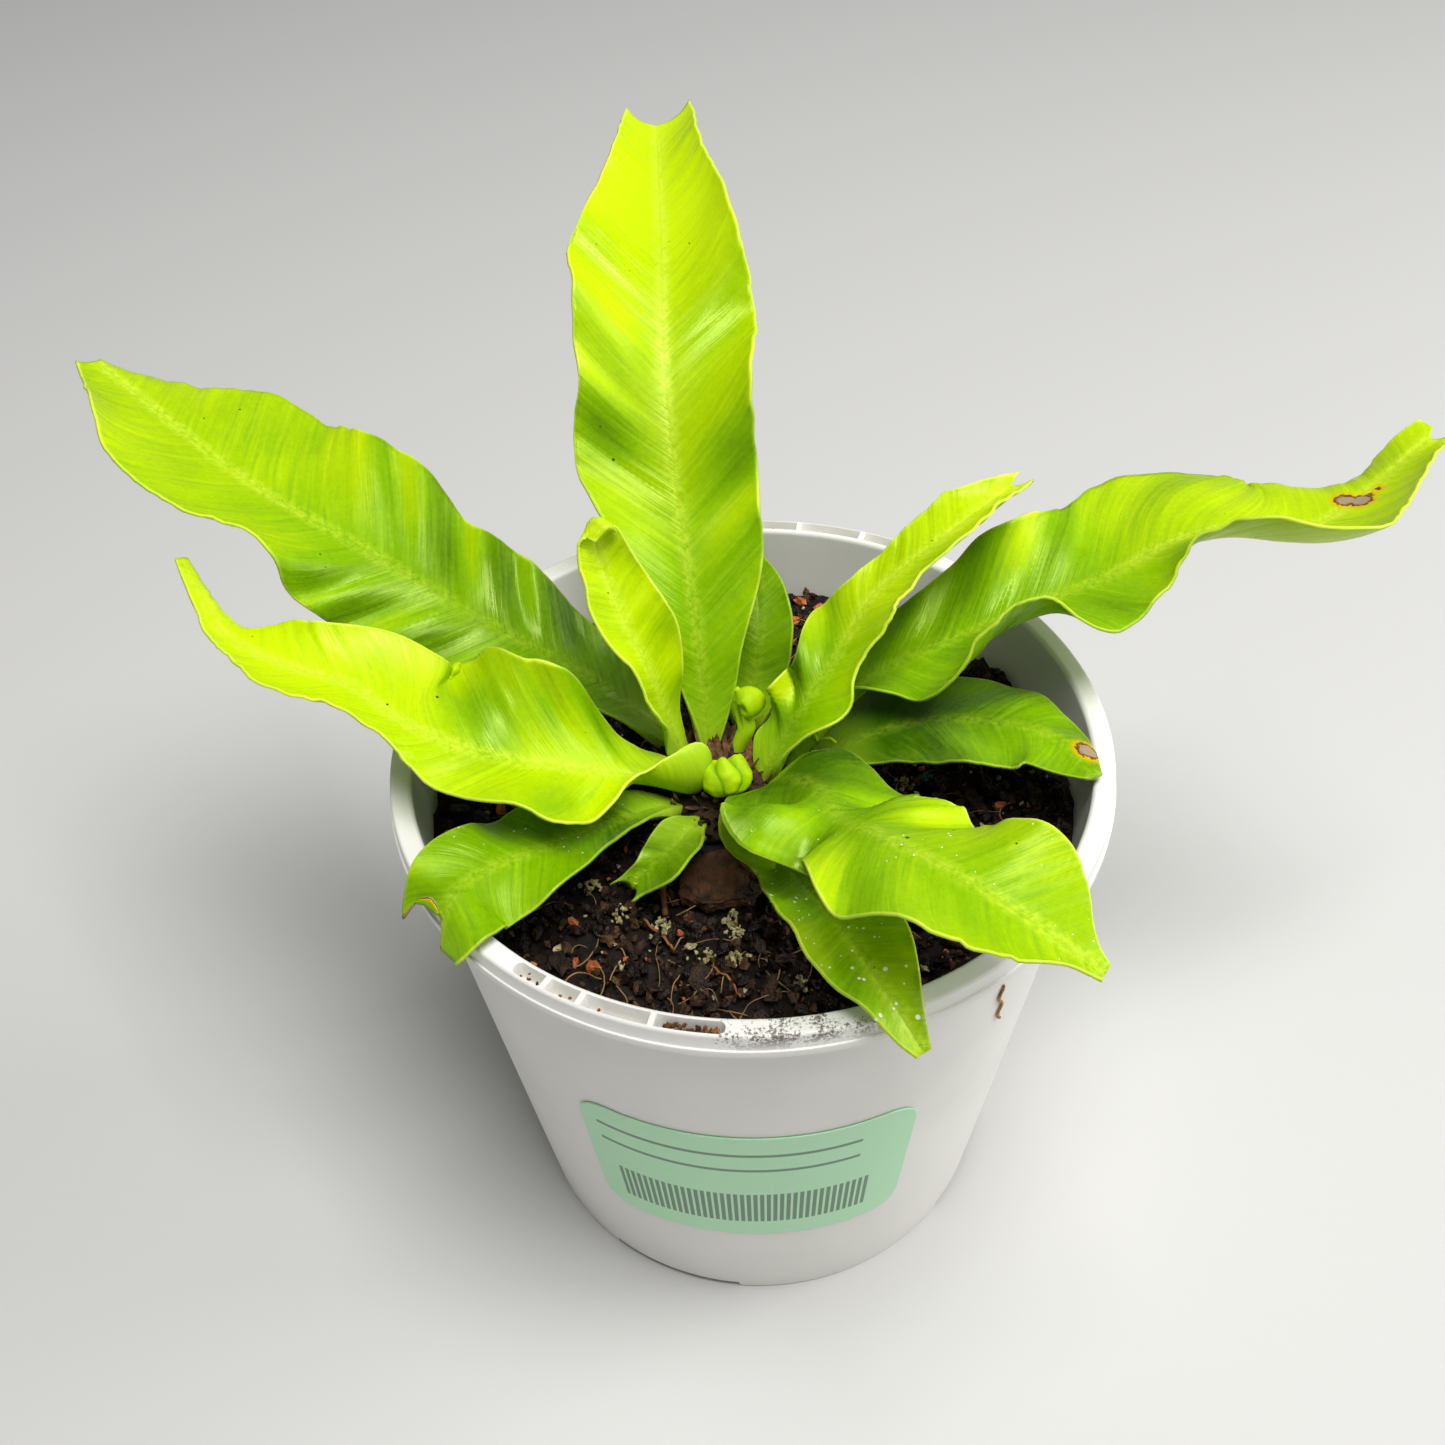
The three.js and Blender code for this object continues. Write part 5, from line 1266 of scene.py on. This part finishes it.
def frond_material(name, deep, middle, lime, roughness, gloss):
    """Living frond tissue: waxy and translucent, with fine slanting veins that break up its
    gloss, a mottled midrib, a thin pale margin, and the scars and specks of a grown leaf."""
    material, tree, shader = new_material(name)
    coords = add(tree, "TexCoord").outputs["Object"]
    fields = {key: add(tree, "Attribute", attribute_name=key).outputs["Fac"]
              for key in ("across_mm", "margin_mm", "vein_mm", "tone", "run_mm", "scar_mm", "dust")}
    patches = add(tree, "TexNoise", {"Vector": coords, "Scale": 1 / (14 * MM),
                                     "Detail": 3.0}).outputs["Fac"]
    mottle = add(tree, "TexNoise", {"Vector": coords, "Scale": 1 / (0.9 * MM), "Detail": 3.0,
                                    "Roughness": 0.7}).outputs["Fac"]
    # Veins lie 0.9 mm apart and wander a little, as streaks of uneven strength.
    streak_place = add(tree, "CombineXYZ", {"X": fields["vein_mm"], "Y": fields["across_mm"]})
    fine_place = add(tree, "Mapping", {"Vector": streak_place.outputs[0], "Scale": (1.1, 0.09, 1)})
    streaks = add(tree, "TexNoise", {"Vector": fine_place.outputs[0], "Scale": 1.0, "Detail": 3.0,
                                     "Roughness": 0.6}, noise_dimensions="2D").outputs["Fac"]
    broad_place = add(tree, "Mapping", {"Vector": streak_place.outputs[0],
                                        "Scale": (0.35, 0.06, 1)})
    broad = add(tree, "TexNoise", {"Vector": broad_place.outputs[0], "Scale": 1.0, "Detail": 2.0},
                noise_dimensions="2D").outputs["Fac"]
    strength = add(tree, "MapRange", {"Value": broad, "From Min": 0.35, "From Max": 0.65,
                                      "To Max": 0.22}).outputs[0]
    # The tone holds the blade's own colour and the painted shade and painted light of its waves and
    # hollows.
    tone = fields["tone"]
    for value, swing, share in ((patches, 0.08, 1.0), (streaks, 0.5, strength),
                                (mottle, 0.05, 1.0)):
        part = add(tree, "MapRange", {"Value": value, "From Min": 0.3, "From Max": 0.7,
                                      "To Min": -swing, "To Max": swing}).outputs[0]
        part = add(tree, "Math", {0: part, 1: share}, operation="MULTIPLY").outputs[0]
        tone = add(tree, "Math", {0: tone, 1: part}).outputs[0]
    from_rib = add(tree, "Math", {0: fields["across_mm"]}, operation="ABSOLUTE").outputs[0]
    light_leaf = add(tree, "MapRange", {"Value": fields["tone"], "From Min": 0.35,
                                        "From Max": 0.8}).outputs[0]
    rag = add(tree, "MapRange", {"Value": mottle, "From Min": 0.3, "From Max": 0.7,
                                 "To Min": -0.35, "To Max": 0.35}).outputs[0]
    ragged = add(tree, "Math", {0: fields["scar_mm"], 1: rag}).outputs[0]
    # The greens, the pale base, the midrib with its dark thread and the margin. Then dead tissue:
    # pale grey-brown with a dark edge, in a yellow halo.
    colour = rgb(deep)
    for code, limits in (
            (middle, [(tone, 0.0, 0.5, 0.0, 1.0)]),
            (lime, [(tone, 0.5, 1.0, 0.0, 1.0)]),
            ("#a9cf28", [(fields["run_mm"], 14.0, 4.0, 0.0, 0.6)]),
            ("#d4e840", [(from_rib, 1.7, 0.4, 0.0, 0.6), (mottle, 0.34, 0.6, 0.0, 1.0),
                         (light_leaf, 0.0, 1.0, 0.25, 1.0)]),
            (deep, [(from_rib, 0.3, 0.12, 0.0, 0.12), (mottle, 0.42, 0.58, 0.0, 1.0)]),
            ("#e2f060", [(fields["margin_mm"], 0.36, 0.1, 0.0, 1.0),
                         (light_leaf, 0.0, 1.0, 0.2, 0.6)]),
            ("#d8b400", [(ragged, 1.3, 0.3, 0.0, 0.85)]),
            ("#6b3a12", [(ragged, 0.3, 0.1, 0.0, 1.0)]),
            ("#a08a72", [(ragged, -0.1, -0.35, 0.0, 1.0)])):
        colour = laid_over(tree, colour, code, limits)
    # Specks of soil, 0.2 to 0.4 mm, and of white dust, strewn over parts of the blade.
    strewn = add(tree, "TexNoise", {"Vector": coords, "Scale": 1 / (22 * MM),
                                    "Detail": 1.0}).outputs["Fac"]
    for spacing, start, full, most, amount, code in (
            (3.1, 0.5, 0.72, 0.1, 1.0, "#39420f"),
            (1.6, 0.42, 0.6, 0.2, fields["dust"], "#f2f4e4")):
        reach = add(tree, "MapRange", {"Value": strewn, "From Min": start, "From Max": full,
                                       "To Max": most}).outputs[0]
        reach = add(tree, "Math", {0: reach, 1: amount}, operation="MULTIPLY").outputs[0]
        cells = add(tree, "TexVoronoi", {"Vector": coords, "Scale": 1 / (spacing * MM)})
        speck = add(tree, "Math", {0: cells.outputs["Distance"], 1: reach},
                    operation="LESS_THAN").outputs[0]
        colour = add(tree, "Mix", {0: speck, 6: colour, 7: rgb(code)},
                     data_type="RGBA").outputs[2]
    tree.links.new(colour, shader.inputs["Base Color"])
    polish = add(tree, "MapRange", {"Value": broad, "From Min": 0.3, "From Max": 0.7,
                                    "To Min": roughness - 0.08,
                                    "To Max": roughness + 0.14}).outputs[0]
    dead = add(tree, "MapRange", {"Value": ragged, "From Min": 0.5, "From Max": 0.0,
                                  "To Max": 0.3}).outputs[0]
    dull = add(tree, "Math", {0: polish, 1: dead}).outputs[0]
    tree.links.new(dull, shader.inputs["Roughness"])
    fine = add(tree, "TexNoise", {"Vector": coords, "Scale": 1 / (0.5 * MM), "Detail": 2.0})
    veins = add(tree, "Bump", {"Height": streaks, "Strength": 0.35, "Distance": 0.3 * MM})
    relief = add(tree, "Bump", {"Height": fine.outputs["Fac"], "Strength": 0.16,
                                "Distance": 0.08 * MM, "Normal": veins.outputs[0]})
    tree.links.new(relief.outputs[0], shader.inputs["Normal"])
    shader.inputs["IOR"].default_value = 1.45
    shader.inputs["Specular IOR Level"].default_value = gloss
    shader.inputs["Specular Tint"].default_value = rgb("#f0ff9c")
    shader.inputs["Subsurface Weight"].default_value = 0.2
    shader.inputs["Subsurface Radius"].default_value = (0.8, 1.0, 0.1)
    shader.inputs["Subsurface Scale"].default_value = 0.6 * MM
    return material


# Waxy upper blade: glossy lime to deep green, with soft streaks of light along the veins.
blade_top = frond_material("waxy upper blade", "#365c00", "#80b000", "#c2de00", 0.32, 0.5)
# Dull lower blade: a shade paler and without the gloss, so the turned lobes show their backs.
blade_under = frond_material("dull lower blade", "#528000", "#90bc00", "#bcdc00", 0.5, 0.35)
for name, shape in FRONDS.items():
    blade = grown_frond(name + "_blade", shape)
    blade.data.materials.append(blade_top)
    blade.data.materials.append(blade_under)
    belongs(blade, shape["slot"], name)


# The croziers: two young fronds that are still rolled up in the middle of the crown. The tall one
# is a coiled fiddlehead on a stalk, and the low one a tight knob of blade, ruffled in pleats.
TALL_FOOT = (-3.8, 3.2, 79.5)
TALL_NECK = (-0.5, 4.8, 88.4)
TALL_HEAD = (-0.3, 5.6, 91.8)
COIL_TURNS = 1.35
COIL_FACING = (0.75, -0.55, 0.0)
COIL_REACH = 1.55
STALK_STEPS = 12
COIL_STEPS = 40
HORN_STEPS = 8
KNOB_CENTRE = (-3.2, -5.8, 87.6)
KNOB_SIZE = (3.8, 3.1, 2.9)
KNOB_PLEATS = 6


def plain_fields(piece, run, across, tone):
    """Fills in what the blade's material reads, for tissue without a margin or scars."""
    count = len(piece.data.vertices)
    fields = dict(run_mm=run, across_mm=across, margin_mm=5.0, vein_mm=across, tone=tone,
                  scar_mm=UNHARMED, dust=0.0)
    for key, values in fields.items():
        values = np.ones(count) * values
        piece.data.attributes.new(key, "FLOAT", "POINT").data.foreach_set("value", values)


def coiled_stalk(name, path, axis, widths, depths, sides):
    """A closed tube drawn up ring by ring, then bent to a path with an oval section at each."""
    path = np.array(path)
    forward = unit(np.gradient(path, axis=0))
    across = unit(axis - (forward @ axis)[:, None] * forward)
    over = np.cross(forward, across)
    piece = pulled_ring(name, [(1, k) for k in range(len(path))], sides)
    rings, turns = [], []
    for vertex in piece.data.vertices:
        x, y, z = vertex.co / MM
        k, a = round(z), math.atan2(y, x)
        spot = path[k] + across[k] * widths[k] * math.cos(a) + over[k] * depths[k] * math.sin(a)
        vertex.co = Vector(spot) * MM
        rings.append(k)
        turns.append(a)
    piece.data.update()
    piece.data.shade_smooth()
    return piece, np.array(rings), np.array(turns)


foot, neck, head = (np.array(p) for p in (TALL_FOOT, TALL_NECK, TALL_HEAD))
facing = unit(np.array(COIL_FACING))
path = [foot + (neck - foot) * k / STALK_STEPS for k in range(STALK_STEPS)]
widths = [1.1 + 0.4 * k / STALK_STEPS for k in range(STALK_STEPS)]
depths = [1.1 + 0.2 * k / STALK_STEPS for k in range(STALK_STEPS)]
for k in range(COIL_STEPS + 1):
    t = k / COIL_STEPS
    a = math.pi * (1.0 - 2 * COIL_TURNS * t)
    reach = COIL_REACH - 1.1 * t
    path.append(head + facing * reach * math.cos(a) + np.array((0, 0, 1.0)) * reach * math.sin(a))
    widths.append(1.5 + 0.75 * math.sin(math.pi * min(1, 1.2 * t)) - 0.7 * t)
    depths.append(1.25 - 0.75 * t)
aside = np.cross(facing, (0, 0, 1.0))
tall, ring, turned = coiled_stalk("tall_coil", path, aside, widths, depths, 20)
ribs = 0.5 + 0.5 * np.cos(turned * 3)
plain_fields(tall, 3.0 + 0.35 * ring, 3 + 0 * ring, 0.75 + 0.35 * ribs)
tall.data.materials.append(blade_under)
belongs(tall, "frond_lime", "crozier_tall")
# The coil's free tip stands up from it as a thin horn.
horn_foot, horn_rise = head + np.array((-1.0, -0.4, 0.9)), np.array((-0.9, 0, 2.5))
horn_path = [horn_foot + k / HORN_STEPS * horn_rise for k in range(HORN_STEPS + 1)]
horn_widths = [1.1 - 0.75 * k / HORN_STEPS for k in range(HORN_STEPS + 1)]
horn, ring, _ = coiled_stalk("coil_horn", horn_path, aside, horn_widths, horn_widths, 14)
plain_fields(horn, 9.0, 3.0, 0.9 - 0.1 * ring / HORN_STEPS)
horn.data.materials.append(blade_under)
belongs(horn, "frond_lime")

knob = primitive(bpy.ops.mesh.primitive_uv_sphere_add, "low_knob", segments=132, ring_count=48,
                 radius=1)
crease_shading = []
broad, deep, high = KNOB_SIZE
lean = Matrix.Rotation(math.radians(-48), 3, "X") @ Matrix.Rotation(math.radians(-14), 3, "Y")
for vertex in knob.data.vertices:
    x, y, z = vertex.co
    a = math.atan2(y, x)
    swirl = a * KNOB_PLEATS / 2 + 0.9 * z * z + 0.8 * math.sin(a + 0.2) + 0.3 * math.sin(2.5 * z)
    crest = abs(math.sin(swirl)) ** 0.4
    low = min(1, (1 - z * z) * 2.5)
    ruffle = 0.06 * noise.noise(Vector((2.6 * x, 2.6 * y, 2.6 * z)))
    bulge = 0.86 + low * (0.15 * crest + ruffle)
    tips = 0.35 * crest ** 3 * max(0, math.sin(math.pi * min(1, max(0, (z - 0.3) / 0.68))))
    spot = lean @ Vector((broad * bulge * x, deep * bulge * y, high * (bulge * z + tips)))
    vertex.co = (Vector(KNOB_CENTRE) + spot) * MM
    crease_shading.append(low * (1 - crest))
knob.data.update()
knob.data.shade_smooth()
# The knob's tone is painted shade: darker in the creases between the pleats, full on the crests.
plain_fields(knob, 11.0, 4.0, 0.9 - 1.0 * np.array(crease_shading))
knob.data.materials.append(blade_under)
belongs(knob, "frond_lime", "crozier_low")


# The tiny shoot: a forked green sprout of soft young tissue, 5 mm across. It has grown from the
# crown's right side and stands there on its own.
sprig = [([(8.8, 2.0, 85.4), (9.4, 2.2, 86.8), (9.6, 2.3, 88.0), (9.2, 2.4, 88.8)], 0.3),
         ([(9.5, 2.2, 87.2), (10.6, 2.4, 88.0), (11.6, 2.2, 88.2), (12.4, 1.8, 87.7)], 0.28),
         ([(9.5, 2.2, 87.6), (8.6, 2.3, 88.3), (7.9, 2.2, 88.2)], 0.2)]
shoot = fibres("tiny_shoot", sprig, blade_under, "frond_lime")
plain_fields(shoot, 20.0, 3.0, 0.6)
